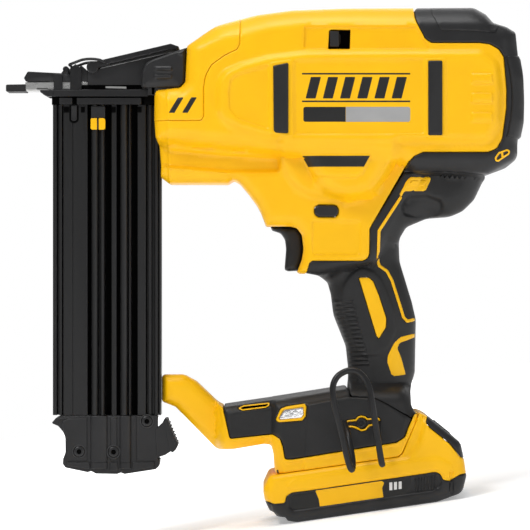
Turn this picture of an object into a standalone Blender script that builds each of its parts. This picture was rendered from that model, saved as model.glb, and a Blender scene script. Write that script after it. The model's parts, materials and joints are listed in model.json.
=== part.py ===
"""Cordless flywheel brad nailer, built as separate sub-parts.

Two frames are used, both in millimetres in this file and in metres in Blender.
Tool frame: X runs back from the nose along the drive line, Y across the tool,
Z up; Z = 0 is the drive line. Stand frame: the flat base of the battery lies on
Z = 0 with the origin at its middle. The tool leans back by TILT on its stand.
"""

import math

import bmesh
import bpy
from mathutils import Matrix, Vector

MM = 0.001

# Driving dimensions
TILT = math.radians(8.3)
DRIVE_HEIGHT = 245.0
DRIVE_SETBACK = 20.8
WALL = 2.5
GAP = 0.3
BODY_HALF = 36.0
SHROUD_HALF = 30.0
CAP_HALF = 34.0
COVER_HALF = 29.0
BUMPER_HALF = 27.0
NECK_HALF = 22.0
HANDLE_HALF = 17.0
CORE_HALF = 13.0
FOOT_HALF = 31.0
FOOT_CORE_HALF = 27.5
ARM_HALF = 11.0
NOSE_HALF = 12.0
WING_HALF = 25.0
BATTERY_HALF = 37.5
PAD_THICKNESS = 4.5
MAGAZINE_TOP = -10.0
MAGAZINE_END = -186.0
MAGAZINE_FRONT = -122.0
MAGAZINE_REAR = -59.0
NAIL_GAP = 0.9
FLYWHEEL_AT = (35.0, 0.0, -27.0)
FLYWHEEL_RADIUS = 22.0
PINCH_RADIUS = 7.0
RAIL_OFFSET = 13.0
RAIL_RADIUS = 2.5
CELL_RADIUS = 9.2
CELL_LENGTH = 65.0
CELL_COUNT = 5
CELL_PITCH = 19.0
CELL_HEIGHT = 12.6
LEVER_PIVOT = (-97.5, 0.0, 11.0)
BAIL_PIVOT = (-90.6, 0.0, 13.6)
DOOR_PIVOT = (-134.0, 0.0, 5.6)
MAG_LATCH_PIVOT = (-56.6, 0.0, -189.5)
PINCH_PIVOT = (10.0, 0.0, 17.0)
DEPTH_WHEEL_AT = (-76.0, 13.5, 7.4)


# ---------------------------------------------------------------- outlines

def on_stand(x, z, radius=0.0):
    """A stand-frame point as a tool-frame corner."""
    x += DRIVE_SETBACK
    z -= DRIVE_HEIGHT
    return (x * math.cos(TILT) - z * math.sin(TILT),
            x * math.sin(TILT) + z * math.cos(TILT), radius)


def corner_parts(corners, index):
    """One corner's point, its unit directions to both neighbours and their lengths."""
    here = Vector(corners[index][:2])
    back = Vector(corners[index - 1][:2]) - here
    ahead = Vector(corners[(index + 1) % len(corners)][:2]) - here
    return here, back.normalized(), ahead.normalized(), back.length, ahead.length


def loop_of(corners):
    """Corner list (u, v, radius) to points, with an arc at each rounded corner."""
    points = []
    for index, corner in enumerate(corners):
        here, back, ahead, back_length, ahead_length = corner_parts(corners, index)
        angle = back.angle(ahead)
        turn = math.pi - angle
        if corner[2] <= 0 or turn < 0.02:
            points.append(here)
            continue
        reach = min(corner[2] / math.tan(angle / 2), back_length * 0.48, ahead_length * 0.48)
        radius = reach * math.tan(angle / 2)
        centre = here + (back + ahead).normalized() * (radius / math.sin(angle / 2))
        steps = max(2, round(turn / math.radians(26)))
        start = here + back * reach - centre
        end = here + ahead * reach - centre
        sweep = start.angle_signed(end)
        for step in range(steps + 1):
            points.append(centre + Matrix.Rotation(-sweep * step / steps, 2) @ start)
    return points


def inset(corners, distance):
    """Move every edge of a corner list inwards (outwards where distance is negative)."""
    count = len(corners)
    area = sum(corners[i - 1][0] * corners[i][1] - corners[i][0] * corners[i - 1][1]
               for i in range(count))
    side = 1.0 if area > 0 else -1.0
    moved = []
    for index, corner in enumerate(corners):
        here, back, ahead, _, _ = corner_parts(corners, index)
        into = -back
        normal_in = Vector((-into.y, into.x)) * side
        normal_out = Vector((-ahead.y, ahead.x)) * side
        bisector = normal_in + normal_out
        shift = bisector * (distance / max(bisector.dot(normal_in), 0.3))
        convex = into.cross(ahead) * side > 0
        radius = corner[2] - distance if convex else corner[2] + distance
        point = here + shift
        moved.append((point.x, point.y, max(radius, 0.0) if corner[2] > 0 else 0.0))
    return moved


# ------------------------------------------------------------------ shapes

def slab(corners, y0, y1):
    """Side-view outline (x, z) extruded across the tool from y0 to y1."""
    return extruded([(p.x, y0, p.y) for p in loop_of(corners)], (0, y1 - y0, 0))


def bar(corners, z0, z1):
    """Plan outline (x, y) extruded upwards from z0 to z1."""
    return extruded([(p.x, p.y, z0) for p in loop_of(corners)], (0, 0, z1 - z0))


def extruded(points, step):
    shape = bmesh.new()
    base = shape.faces.new([shape.verts.new(point) for point in points])
    top = bmesh.ops.extrude_face_region(shape, geom=[base])
    moved = [item for item in top["geom"] if isinstance(item, bmesh.types.BMVert)]
    bmesh.ops.translate(shape, verts=moved, vec=step)
    bmesh.ops.recalc_face_normals(shape, faces=shape.faces)
    return shape


def block(x0, x1, y0, y1, z0, z1):
    return extruded([(x0, y0, z0), (x1, y0, z0), (x1, y1, z0), (x0, y1, z0)], (0, 0, z1 - z0))


def turned(profile, centre, axis, sides=24):
    """Closed profile (distance along the axis, radius) turned about an axis through centre.

    A profile that touches radius 0 makes a solid piece, any other makes a ring.
    """
    turn = Vector((0, 0, 1)).rotation_difference(Vector(axis)).to_matrix()
    shape = bmesh.new()
    rings = []
    for along, radius in profile:
        if radius == 0:
            rings.append([shape.verts.new(Vector(centre) + turn @ Vector((0, 0, along)))])
            continue
        circle = []
        for side in range(sides):
            angle = 2 * math.pi * side / sides
            spot = Vector((radius * math.cos(angle), radius * math.sin(angle), along))
            circle.append(shape.verts.new(Vector(centre) + turn @ spot))
        rings.append(circle)
    for index, here in enumerate(rings):
        following = rings[(index + 1) % len(rings)]
        if len(here) == 1 and len(following) == 1:
            continue
        for side in range(sides):
            ahead = (side + 1) % sides
            if len(here) == 1:
                shape.faces.new((here[0], following[side], following[ahead]))
            elif len(following) == 1:
                shape.faces.new((here[side], following[0], here[ahead]))
            else:
                shape.faces.new((here[side], following[side], following[ahead], here[ahead]))
    bmesh.ops.recalc_face_normals(shape, faces=shape.faces)
    return shape


def rod(centre, axis, start, end, radius, sides=24):
    return turned([(start, 0), (start, radius), (end, radius), (end, 0)], centre, axis, sides)


def ring(centre, axis, start, end, inner, outer, sides=24):
    return turned([(start, inner), (start, outer), (end, outer), (end, inner)], centre, axis, sides)


def coil(centre, start, end, radius, wire, turns, steps=10, sides=5):
    """Round wire wound about the X axis, from start to end."""
    shape = bmesh.new()
    rings = []
    total = turns * steps
    for step in range(total + 1):
        angle = 2 * math.pi * step / steps
        outward = Vector((0, math.cos(angle), math.sin(angle)))
        middle = Vector(centre) + outward * radius
        middle.x = start + wire + (end - start - 2 * wire) * step / total
        section = []
        for side in range(sides):
            turn = 2 * math.pi * side / sides
            offset = outward * math.cos(turn) + Vector((1, 0, 0)) * math.sin(turn)
            section.append(shape.verts.new(middle + wire * offset))
        rings.append(section)
    for first, second in zip(rings, rings[1:]):
        for side in range(sides):
            ahead = (side + 1) % sides
            shape.faces.new((first[side], first[ahead], second[ahead], second[side]))
    shape.faces.new(rings[0])
    shape.faces.new(rings[-1])
    bmesh.ops.recalc_face_normals(shape, faces=shape.faces)
    return shape


# ----------------------------------------------------------------- objects

def finish(name, colour, roughness, metallic=0.0):
    material = bpy.data.materials.new(name)
    material.use_nodes = True
    shader = material.node_tree.nodes["Principled BSDF"]
    shader.inputs["Base Color"].default_value = (*colour, 1.0)
    shader.inputs["Roughness"].default_value = roughness
    shader.inputs["Metallic"].default_value = metallic
    return material


def place(name, shape, pivot, frame):
    """Object from a shape in millimetres, with its origin at pivot in its frame."""
    bmesh.ops.translate(shape, verts=shape.verts, vec=-Vector(pivot))
    bmesh.ops.scale(shape, verts=shape.verts, vec=(MM, MM, MM))
    mesh = bpy.data.meshes.new(name)
    shape.to_mesh(mesh)
    shape.free()
    placed = bpy.data.objects.new(name, mesh)
    placed.location = Vector(pivot) * MM
    placed.parent = frame
    bpy.context.scene.collection.objects.link(placed)
    return placed


def node(name, material, shape, add=(), cut=(), pivot=(0, 0, 0), frame=None):
    """One sub-part: its first shape, then the shapes added to it, then those cut from it."""
    frame = frame or FRAMES["tool"]
    piece = place(name, shape, pivot, frame)
    piece.data.materials.append(FINISHES[material])
    for operation, shapes in (("UNION", add), ("DIFFERENCE", cut)):
        for number, extra in enumerate(shapes):
            helper = place(f"{name}_{operation.lower()}_{number}", extra, (0, 0, 0), frame)
            helper.hide_render = True
            helper.display_type = 'WIRE'
            boolean = piece.modifiers.new(helper.name, 'BOOLEAN')
            boolean.operation = operation
            boolean.object = helper
    return piece


def wire(name, material, points, radius, pivot=(0, 0, 0)):
    """Bent round wire through points, as a curve with filled caps."""
    curve = bpy.data.curves.new(name, 'CURVE')
    curve.dimensions = '3D'
    curve.bevel_depth = radius * MM
    curve.bevel_resolution = 2
    curve.use_fill_caps = True
    spline = curve.splines.new('POLY')
    spline.points.add(len(points) - 1)
    for spot, point in zip(spline.points, points):
        spot.co = (*((Vector(point) - Vector(pivot)) * MM), 1.0)
    placed = bpy.data.objects.new(name, curve)
    placed.location = Vector(pivot) * MM
    placed.parent = FRAMES["tool"]
    curve.materials.append(FINISHES[material])
    bpy.context.scene.collection.objects.link(placed)
    return placed


def smooth_path(points, steps=4):
    """Catmull-Rom curve through points."""
    path = []
    knots = [points[0], *points, points[-1]]
    for a, b, c, d in zip(knots, knots[1:], knots[2:], knots[3:]):
        a, b, c, d = Vector(a), Vector(b), Vector(c), Vector(d)
        for step in range(steps):
            t = step / steps
            path.append(0.5 * (2 * b + (c - a) * t + (2 * a - 5 * b + 4 * c - d) * t ** 2
                               + (3 * b - a - 3 * c + d) * t ** 3))
    path.append(Vector(points[-1]))
    return path


# ------------------------------------------------- outlines of the casings

MAIN = [(-62.5, -20.1, 0), (-36, -20.1, 2), (-34, -17.5, 2), (-34, -1.1, 4), (-33, 5.1, 6),
        (-29.8, 11.1, 6), (-22.6, 16.2, 3), (-15.5, 19.6, 2), (-13.8, 22.8, 1), (-13.6, 38, 0),
        (-4.5, 40.5, 40), (15.6, 43, 0), (46, 44, 30), (82, 44.2, 0),
        (84.2, 34.5, 5), (90.5, 23.5, 5), (122.5, 23.5, 5), (132, 16.5, 4), (134.5, -3.5, 8),
        (134.5, -15, 8), (131.5, -31, 4), (124.5, -37.5, 4), (87, -37.5, 6), (72.5, -58, 0),
        (-14.5, -58, 0), (-17, -55, 3), (-60, -54.5, 2), (-60, -34, 1), (-62.5, -31.5, 1)]
NECK = [(-16, -52, 0), (-14.5, -58, 3), (-3.5, -71, 4), (0, -79, 1), (22, -79, 0),
        (22, -104.5, 1), (24, -98.5, 1), (57.5, -98.5, 3), (57.5, -81, 0), (75, -54, 0), (70, -50, 0)]
NECK_HOLLOW = [(-10, -50, 0), (-10, -58, 0), (-1, -71, 0), (2.5, -76.5, 0), (24.5, -76.5, 0),
               (24.5, -96, 0), (55, -96, 0), (55, -80, 0), (70, -55, 0), (68, -50, 0)]
SHELL_INSIDE = [(-60, -52, 0), (-60, -4, 0), (-43, 5, 0), (-41.5, 21.5, 2), (-27, 31.5, 10),
                (-4, 37.8, 20), (15, 40.5, 0), (130, 40.5, 0), (143, 30, 0), (143, -34.5, 0),
                (86, -35, 4), (70, -55.5, 0), (-15, -55.5, 0), (-18, -52, 0)]
SHROUD = [(-62.5, -2, 1), (-48, -1, 2), (-45, 2, 2), (-44, 22.5, 2), (-28, 34, 20), (-14, 38.1, 0),
          (-14.2, 23, 1), (-15.8, 20, 2), (-22.9, 16.6, 3), (-30.2, 11.4, 6), (-33.4, 5.2, 6),
          (-34.4, -1, 4), (-34.4, -17.5, 2), (-36.2, -19.7, 2), (-62.5, -19.7, 0)]
REAR_CAP = [(84.1, 35.7, 0), (128.3, 35.7, 2), (141, 30, 3), (142, 19, 1), (139, 16, 0),
            (139, -28.8, 0), (142, -32.5, 1), (142, -41, 6), (125.5, -50.3, 8), (81, -47.8, 2),
            (87.2, -37.8, 6), (124.7, -37.8, 4), (131.9, -31, 4), (134.8, -15, 8), (134.8, -3.5, 8),
            (132.3, 16.6, 4), (122.6, 23.8, 5), (90.7, 23.8, 5), (84.5, 34.6, 0)]
REAR_CAP_INSIDE = [(88, 33.2, 0), (128, 33.2, 0), (138.5, 28, 2), (136.5, 14, 0), (136.5, -28, 0),
                   (139.5, -34, 0), (139.5, -40, 4), (125, -47.6, 4), (85.5, -45.3, 0),
                   (90, -34, 0), (120, -34, 0), (128, -28, 0), (128, 14, 0), (120, 20, 0),
                   (93, 20, 0)]
TOP_COVER = [(82.5, 44.3, 0), (118, 44.5, 6), (127.8, 36, 2), (84.4, 36, 0)]
BUMPER = [(139.3, 15.7, 1), (144.5, 15, 3), (146, -1, 30), (145.3, -28, 3), (139.3, -28.5, 1)]
HANDLE = [(24.3, -98.8, 1), (23, -105, 1.5), (29.5, -107, 3), (36, -111, 4), (39, -129.5, 20),
          (46, -147, 12), (47.3, -158, 10), (47, -190, 0), (79, -190, 0), (81.6, -179, 3),
          (82, -172, 8), (85.2, -162, 8), (85.6, -132, 14), (83, -121, 20), (76.5, -99, 14),
          (76, -86, 6), (80, -79.5, 6), (92, -74.5, 12), (105, -73.5, 10), (118, -66, 12),
          (125, -50.8, 3), (80.5, -48.3, 2), (57.9, -81, 2), (57.8, -98.8, 1)]
HANDLE_CORE = [(30, -94, 0), (30, -110.5, 3), (39.5, -113, 3), (42.5, -129, 18), (49.5, -147, 10),
               (50.8, -160, 8), (50.5, -190, 0), (76, -190, 0), (78.5, -172, 6), (81.7, -161, 6),
               (82, -132, 12), (79.5, -122, 16), (72.5, -98, 10), (72.5, -84, 6), (78, -76, 4),
               (92, -71, 10), (105, -70, 8), (114.5, -63.5, 10), (119, -54.2, 3), (82.5, -52, 3),
               (63, -79, 3), (61.5, -102.3, 2), (54, -102.3, 2), (54, -94, 0)]
HANDLE_HOLLOW = [(33, -90, 0), (33, -109, 2), (42, -116, 3), (45.5, -130, 14), (52.5, -147, 8),
                 (54, -160, 0), (54, -190, 0), (73, -190, 0), (75.5, -170, 4), (78.7, -160, 4),
                 (79, -133, 10), (76.5, -124, 12), (66, -98, 4), (51, -98, 0), (51, -90, 0)]
FOOT_SKIN = [(-23.5, -180.8, 1), (46, -169.8, 4), (78, -171, 5), (82, -183, 2), (79.5, -193.5, 3),
             (75, -199.5, 4), (12, -209.5, 2), (9.8, -207, 1), (7.2, -196.5, 2), (3, -195, 2),
             (-19.8, -198, 2), (-21.5, -189.5, 1)]
FOOT_CORE = [(-19.5, -184, 2), (45, -173.6, 2), (76, -174.5, 3), (78.5, -184, 2), (70, -203, 0),
             (13, -212.5, 0), (-14, -200.5, 0)]
FOOT_HOLLOW = [(-17, -186.5, 0), (46, -176.5, 0), (74, -177.5, 2), (76, -185, 0), (68, -200, 0),
               (14, -208.5, 0), (-12, -198.5, 0)]
FOOT_BASE = [(-19.7, -198.4, 0), (3, -195.4, 2), (6.9, -196.9, 2), (9.5, -207.3, 1), (12, -209.9, 2),
             (75.2, -199.9, 4), (79.9, -193.7, 2), (82.3, -183.4, 0), on_stand(37.5, 51.5),
             on_stand(36.3, 47.4), on_stand(25.3, 30.0, 2), on_stand(23, 28.4, 2),
             on_stand(-46, 28.4), (4.6, -206.5, 1), (3.4, -202, 2), (-0.5, -201.6, 2),
             (-17.5, -204.6, 2)]
FOOT_BASE_HOLLOW = [(12, -206, 0), (72, -197, 0), (76, -190, 0), on_stand(22, 31.5),
                    on_stand(-38, 31.5), (8, -206, 0)]
ARM = [(-58.7, -163.2, 2), (-46, -163.2, 6), (-39, -167, 5), (-25.5, -180, 4), (-10, -183, 0),
       (-10, -203, 0), (-19, -204.6, 3), (-27.5, -205.3, 4), (-51, -181.5, 4), (-58.7, -178.5, 2)]
ARM_HOLLOW = [(-55.5, -166, 0), (-45.5, -166, 3), (-27, -183, 3), (-5, -187, 0), (-5, -198, 0),
              (-20, -201.5, 0), (-27, -202, 3), (-48.5, -178.8, 3), (-55.5, -176, 0)]
BATTERY = [(-41, 0, 8), (41, 0, 10), (55.5, 3, 6), (59.2, 12, 8), (58.6, 31, 6), (42.4, 48.4, 3),
           (38.3, 50.7, 1), (25.6, 29.7, 2), (23, 28.1, 1), (-50, 28.1, 4), (-54.7, 21, 6),
           (-53.5, 10, 8)]
BATTERY_HOLLOW = [(-40, 2.4, 4), (41, 2.4, 8), (54, 5.4, 4), (56.8, 12, 6), (56.3, 30, 4),
                  (41.5, 45, 2), (39, 45.5, 0), (28.5, 28, 0), (25, 25.6, 0), (-49.5, 25.6, 3),
                  (-52.3, 21, 4), (-51, 10.5, 6)]
LENS = [(6.5, -187.6, 3), (10.5, -181, 3), (22.6, -179, 1), (21.5, -184.8, 1)]
EYE_PAD_FRONT = [(4.5, 10.5, 2), (13, 12, 2), (13, -27.5, 3), (4.5, -27.5, 3)]
EYE_PAD_REAR = [(90, 13.5, 3), (98.5, 13.5, 3), (98.5, -28.5, 3), (90, -28.5, 3)]
LOCK_BUTTON = [(27.8, -67.2, 3.2), (41.2, -67.2, 3.2), (41.2, -73.8, 3.2), (27.8, -73.8, 3.2)]
STALL_SLOT = [(35, 20.3, 1), (47, 20.3, 1), (47, 31, 2), (35, 31, 2)]
GROOVE_HALF = 16.4


# ---------------------------------------------------------------- casings

def housing_halves():
    for side, name in ((-1, "housing_left"), (1, "housing_right")):
        middle = side * GAP / 2
        hollow_start = -side
        node(name, "yellow", slab(MAIN, middle, side * BODY_HALF),
             add=[slab(NECK, middle, side * NECK_HALF),
                  slab(HANDLE_CORE, middle, side * CORE_HALF),
                  slab(FOOT_CORE, middle, side * FOOT_CORE_HALF),
                  slab(FOOT_BASE, middle, side * FOOT_HALF),
                  slab(ARM, middle, side * ARM_HALF)],
             cut=[slab(SHELL_INSIDE, hollow_start, side * (BODY_HALF - WALL)),
                  slab(NECK_HOLLOW, hollow_start, side * (NECK_HALF - WALL)),
                  slab(HANDLE_HOLLOW, hollow_start, side * (CORE_HALF - WALL)),
                  slab(FOOT_HOLLOW, hollow_start, side * (FOOT_CORE_HALF - WALL)),
                  slab(FOOT_BASE_HOLLOW, hollow_start, side * (FOOT_HALF - WALL)),
                  slab(ARM_HOLLOW, hollow_start, side * (ARM_HALF - WALL)),
                  block(-70, -58.6, hollow_start, side * 13.2, -60, 0),
                  block(-4, 34, hollow_start, side * 8.8, -106, -79.5),
                  slab(inset(LOCK_BUTTON, -GAP), hollow_start, side * 40),
                  slab(battery_groove(), hollow_start, side * (GROOVE_HALF + GAP)),
                  slab(inset(LENS, -GAP), side * 25, side * 40),
                  mode_pocket(side),
                  *([slab(STALL_SLOT, -20, -40)] if side < 0 else [])])


def battery_groove():
    return [on_stand(-22, 27), on_stand(-22, 34.6), on_stand(60, 34.6), on_stand(60, 27)]


def mode_pocket(side):
    """Hole for the mode button, in the top of the foot on the left; clear of it on the right."""
    reach = (-28.4, -15.6) if side < 0 else (60, 61)
    return slab([on_stand(-58.4, 60), on_stand(-58.4, 75), on_stand(-43.6, 75), on_stand(-43.6, 60)],
                *reach)


def front_shroud():
    node("front_shroud", "yellow", slab(SHROUD, -SHROUD_HALF, SHROUD_HALF),
         cut=[slab(SHELL_INSIDE, -SHROUD_HALF + WALL, SHROUD_HALF - WALL),
              block(-70, -59.5, -13.2, 13.2, -30, 9),
              block(-66, -40, -22.6, 22.6, -12, 9)])


def rear_parts():
    node("rear_cap", "black", slab(REAR_CAP, -CAP_HALF, CAP_HALF),
         cut=[slab(REAR_CAP_INSIDE, -CAP_HALF + WALL, CAP_HALF - WALL)])
    node("top_cover", "black", slab(TOP_COVER, -COVER_HALF, COVER_HALF),
         cut=[block(87, 116, -COVER_HALF + WALL, COVER_HALF - WALL, 30, 41.5)])
    node("rear_bumper", "rubber", slab(BUMPER, -BUMPER_HALF, BUMPER_HALF))


def grips():
    for side, name in ((-1, "grip_left"), (1, "grip_right")):
        middle = side * GAP / 2
        node(name, "rubber", slab(HANDLE, middle, side * HANDLE_HALF),
             add=[slab(FOOT_SKIN, middle, side * FOOT_HALF)],
             cut=[slab(inset(HANDLE_CORE, -GAP), -side, side * (CORE_HALF + GAP)),
                  slab(inset(FOOT_CORE, -GAP), -side, side * (FOOT_CORE_HALF + GAP)),
                  slab(inset(ARM, -GAP), -side, side * (ARM_HALF + GAP)),
                  slab(inset(FOOT_BASE, -GAP), -side, side * 40),
                  slab(inset(LENS, -GAP), side * 25, side * 40),
                  block(-4, 34, -side, side * 8.8, -106, -79.5),
                  mode_pocket(side)])


def side_pads():
    for side, word in ((-1, "left"), (1, "right")):
        start = side * (BODY_HALF + GAP)
        end = side * (BODY_HALF + PAD_THICKNESS)
        node(f"front_pad_{word}", "rubber", slab(EYE_PAD_FRONT, start, end))
        node(f"rear_pad_{word}", "rubber", slab(EYE_PAD_REAR, start, end))


def lenses():
    for side, name in ((-1, "lens_left"), (1, "lens_right")):
        node(name, "lens", slab(LENS, side * (FOOT_CORE_HALF - WALL + 1), side * (FOOT_HALF + 0.5)))


def belt_hook():
    """One bent wire: out of the left slot end, down, up and over the arch, and back."""
    half = [(43.6, -32, -190), (43.4, -38, -191), (45, -47, -199), (47, -53, -211),
            (46.4, -58, -214.5), (45, -60.5, -209), (41, -60.5, -190), (37.3, -59.5, -172),
            (38.2, -57.5, -162.5)]
    arch = [(44.3, -56, -158), (50, -56.5, -159.5)]
    back = [(53.5, -58, -165), (56.5, -59.5, -177), (60, -60.5, -194), (63, -60, -207),
            (63.6, -57, -211.5), (63, -53, -209), (62.3, -46, -199), (62.6, -38, -190.5),
            (62.8, -32, -188.5)]
    wire("belt_hook", "black_metal", smooth_path(half + arch + back, 3), 1.4)
    centre = (53.3, -FOOT_HALF - GAP, -189.2)
    node("belt_hook_screw", "black_metal",
         turned([(0, 0), (0, 3.3), (2.2, 3.3), (3.0, 2.4), (3.0, 0)], centre, (0, -1, 0), 20),
         cut=[rod(centre, (0, -1, 0), 1.6, 5, 1.5, 6)])


# ----------------------------------------------------------- nose and drive

def nose_frame():
    """Frame plates along the nose, joined by a cross plate, and the motor plates behind."""
    front = [(-119.7, -5), (-119.7, 7.4), (-114.6, 7.4), (-114.6, -1.2), (-111, -1.2), (-111, 9.5),
             (-108.5, 12.4), (-104.9, 9.5), (-104.9, -1.2), (-62, -1.2), (-62, -5)]
    motor = [(-64, -5), (-64, 8), (116, 8), (116, -5), (62, -12), (59, -27), (48, -44), (22, -44),
             (11, -27), (8, -12)]
    front = [(x, z, 0) for x, z in front]
    motor = [(x, z, 0) for x, z in motor]
    plates = []
    for side in (-1, 1):
        plates.append(slab(motor, side * 19, side * 22))
        plates.append(slab(front, side * 9.5, side * NOSE_HALF))
    node("nose_frame", "black_metal", block(-66, -62, -22, 22, -5, 8),
         add=[*plates, block(112, 116, -22, 22, -5, 8)],
         cut=[block(-70, -60, -5.2, 5.2, -1.5, 5.2),
              block(-70, -60, 5.2 - GAP, 9.2, -1.5, 4.2),
              block(-70, -60, -9.2, -5.2 + GAP, -1.5, 4.2),
              rod(FLYWHEEL_AT, (0, 1, 0), -30, 30, 8.3)])
    node("driver_guide", "steel", block(-114.6, -61.4, -4.5, 4.5, -0.8, 4.6),
         add=[block(-135.5, -114, -3.6, 3.6, 4.0, 6.6)],
         cut=[block(-140, -60, -1.7, 1.7, 0.1, 2.8)])


def nose_housing():
    wedge = [(-101, -0.8, 0), (-101, 8.3, 1), (-96, 9.6, 1), (-54, 19.4, 1), (-54, -0.4, 0)]
    wing = [(-71, -0.4, 1), (-71, 7.5, 4), (-66, 13.6, 5), (-54, 18.4, 2), (-45.2, 21.8, 1),
            (-45.4, 2.6, 2), (-48.5, -0.4, 1)]
    node("nose_housing", "black", slab(wedge, -11.5, 11.5),
         add=[slab(wing, -WING_HALF, WING_HALF),
              rod(LEVER_PIVOT, (0, 1, 0), -11.5, 11.5, 3.4, 16)],
         cut=[block(-110, -50, -8.9, 8.9, -2, 5.2),
              block(-68.5, -40, -22.4, 22.4, -2, 8.4),
              rod(LEVER_PIVOT, (0, 1, 0), -20, 20, 1.9, 16),
              block(-79.6, -72.4, 6.5, 30, 0.4, 14.6)])
    node("lever_pin", "steel", rod(LEVER_PIVOT, (0, 1, 0), -16, 16, 1.6, 16))
    node("depth_wheel", "black", ring(DEPTH_WHEEL_AT, (1, 0, 0), -3.2, 3.2, 2.0, 6.0, 28),
         add=[block(DEPTH_WHEEL_AT[0] - 3.2, DEPTH_WHEEL_AT[0] + 3.2, DEPTH_WHEEL_AT[1] - 2.2,
                    DEPTH_WHEEL_AT[1] + 2.2, DEPTH_WHEEL_AT[2] + 2.4, DEPTH_WHEEL_AT[2] + 6.2)],
         pivot=DEPTH_WHEEL_AT)


def nose_latch():
    strip = [(-96, 10.8, 0), (-54.2, 20.6, 0), (-49.5, 21.2, 0), (-47.8, 22.8, 1),
             (-53.5, 24.5, 1), (-97, 13.8, 1)]
    ears = []
    for side in (-1, 1):
        ears.append(rod(LEVER_PIVOT, (0, 1, 0), side * 11.9 if side > 0 else -14.6,
                        14.6 if side > 0 else -11.9, 3.3, 16))
        ears.append(slab([(-98, 10, 0), (-88, 12.2, 0), (-88, 15.6, 0), (-98, 13.4, 0)],
                         side * 11.9, side * 14.6))
    node("latch_lever", "black_metal", slab(strip, -14.6, 14.6), add=ears,
         cut=[block(-101, -93, -11.85, 11.85, 5, 20),
              rod(LEVER_PIVOT, (0, 1, 0), -20, 20, 1.9, 16)], pivot=LEVER_PIVOT)
    bail = [(-90.6, -15.6, 13.6), (-96, -15.6, 15.4), (-103, -15.2, 15.4), (-108, -14.4, 14.3),
            (-110.2, -12, 13.9), (-110.2, 12, 13.9), (-108, 14.4, 14.3), (-103, 15.2, 15.4),
            (-96, 15.6, 15.4), (-90.6, 15.6, 13.6)]
    wire("bail_wire", "steel", smooth_path(bail, 2), 0.6, BAIL_PIVOT)
    door = [(-137, 7, 1), (-135, 9.7, 1), (-114.6, 8.2, 0), (-112.9, 12, 1.5), (-111.5, 9.5, 1.5),
            (-112, 5, 0), (-134.5, 5, 1)]
    node("nose_door", "black_metal", slab(door, -8.5, 8.5),
         cut=[block(-140, -110, -4.2, 4.2, 2, 7.2)], pivot=DOOR_PIVOT)


def contact_trip():
    node("contact_trip", "steel", block(-136, -123.2, -8.5, 8.5, -2, 3.6),
         add=[block(-130, -80, 5.8, 8.5, -1.1, 2.9),
              block(-130, -80, -8.5, -5.8, -1.1, 2.9)],
         cut=[block(-140, -120, -2, 2, -0.2, 2.9)])
    tip = [(-147, -2.6, 1.5), (-136.3, -2.6, 0), (-136.3, 3.2, 0), (-142, 2.4, 1), (-147, 1.4, 1)]
    node("trip_tip", "rubber", slab(tip, -6, 6), cut=[block(-150, -130, -1.6, 1.6, -0.4, 2.8)])


def motor():
    shaft = (0, 1, 0)
    node("flywheel", "steel",
         turned([(-8, 3.3), (-8, FLYWHEEL_RADIUS), (8, FLYWHEEL_RADIUS), (8, 16), (-5.5, 16),
                 (-5.5, 3.3)], FLYWHEEL_AT, shaft, 40), pivot=FLYWHEEL_AT)
    node("motor_shaft", "steel", rod(FLYWHEEL_AT, shaft, -24, 24, 3.0, 16), pivot=FLYWHEEL_AT)
    node("stator", "copper",
         turned([(-4.8, 4), (-4.8, 15.4), (6, 15.4), (6, 9), (18.7, 9), (18.7, 4)],
                FLYWHEEL_AT, shaft, 24))
    for side, name in ((-1, "bearing_left"), (1, "bearing_right")):
        start = 19.2 if side > 0 else -23.8
        node(name, "steel", ring(FLYWHEEL_AT, shaft, start, start + 4.6, 3.3, 8.0))


def driver():
    holes = [rod((0, side * RAIL_OFFSET, 1), (1, 0, 0), 80, 110, RAIL_RADIUS + GAP, 16)
             for side in (-1, 1)]
    node("driver", "steel", block(29, 99, -5, 5, -4.5, 4.9),
         add=[block(-65, 33, -1.4, 1.4, 0.4, 2.5), block(92, 99, -17, 17, -4.5, 4.9)], cut=holes)
    rails = [rod((0, side * RAIL_OFFSET, 1), (1, 0, 0), -60.5, 109, RAIL_RADIUS, 16)
             for side in (-1, 1)]
    node("driver_rails", "steel", block(107, 111, -17, 17, -3, 5), add=rails)
    for side, word in ((-1, "left"), (1, "right")):
        node(f"return_spring_{word}", "steel",
             coil((0, side * RAIL_OFFSET, 1), -44, 91.6, 4.1, 0.6, 12, 8, 4))
    bumper_holes = [rod((0, side * RAIL_OFFSET, 1), (1, 0, 0), -70, -30, RAIL_RADIUS + GAP, 16)
                    for side in (-1, 1)]
    node("driver_bumper", "rubber", block(-56, -45, -18, 18, -4.5, 7.5),
         cut=[block(-60, -40, -5.2, 5.2, -2, 8), *bumper_holes])


def pinch():
    roller_at = (FLYWHEEL_AT[0], 0, 5.3 + PINCH_RADIUS)
    node("pinch_roller", "steel", ring(roller_at, (0, 1, 0), -4.5, 4.5, 2.2, PINCH_RADIUS, 28),
         pivot=roller_at)
    cheek = [(6, 13, 3), (6, 21, 3), (42, 19, 3), (42, 8, 4), (30, 7, 3)]
    node("pinch_arm", "black_metal", slab(cheek, -8, -5),
         add=[slab(cheek, 5, 8), block(14, 22, -7, 7, 14, 20),
              rod(roller_at, (0, 1, 0), -7, 7, 1.9, 16)],
         cut=[rod(PINCH_PIVOT, (0, 1, 0), -20, 20, 2.0, 16)], pivot=PINCH_PIVOT)
    node("solenoid", "copper", rod((0, 0, 21), (1, 0, 0), 56, 84, 10, 24),
         add=[rod((0, 0, 21), (1, 0, 0), 45, 58, 2.5, 12)])


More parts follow.
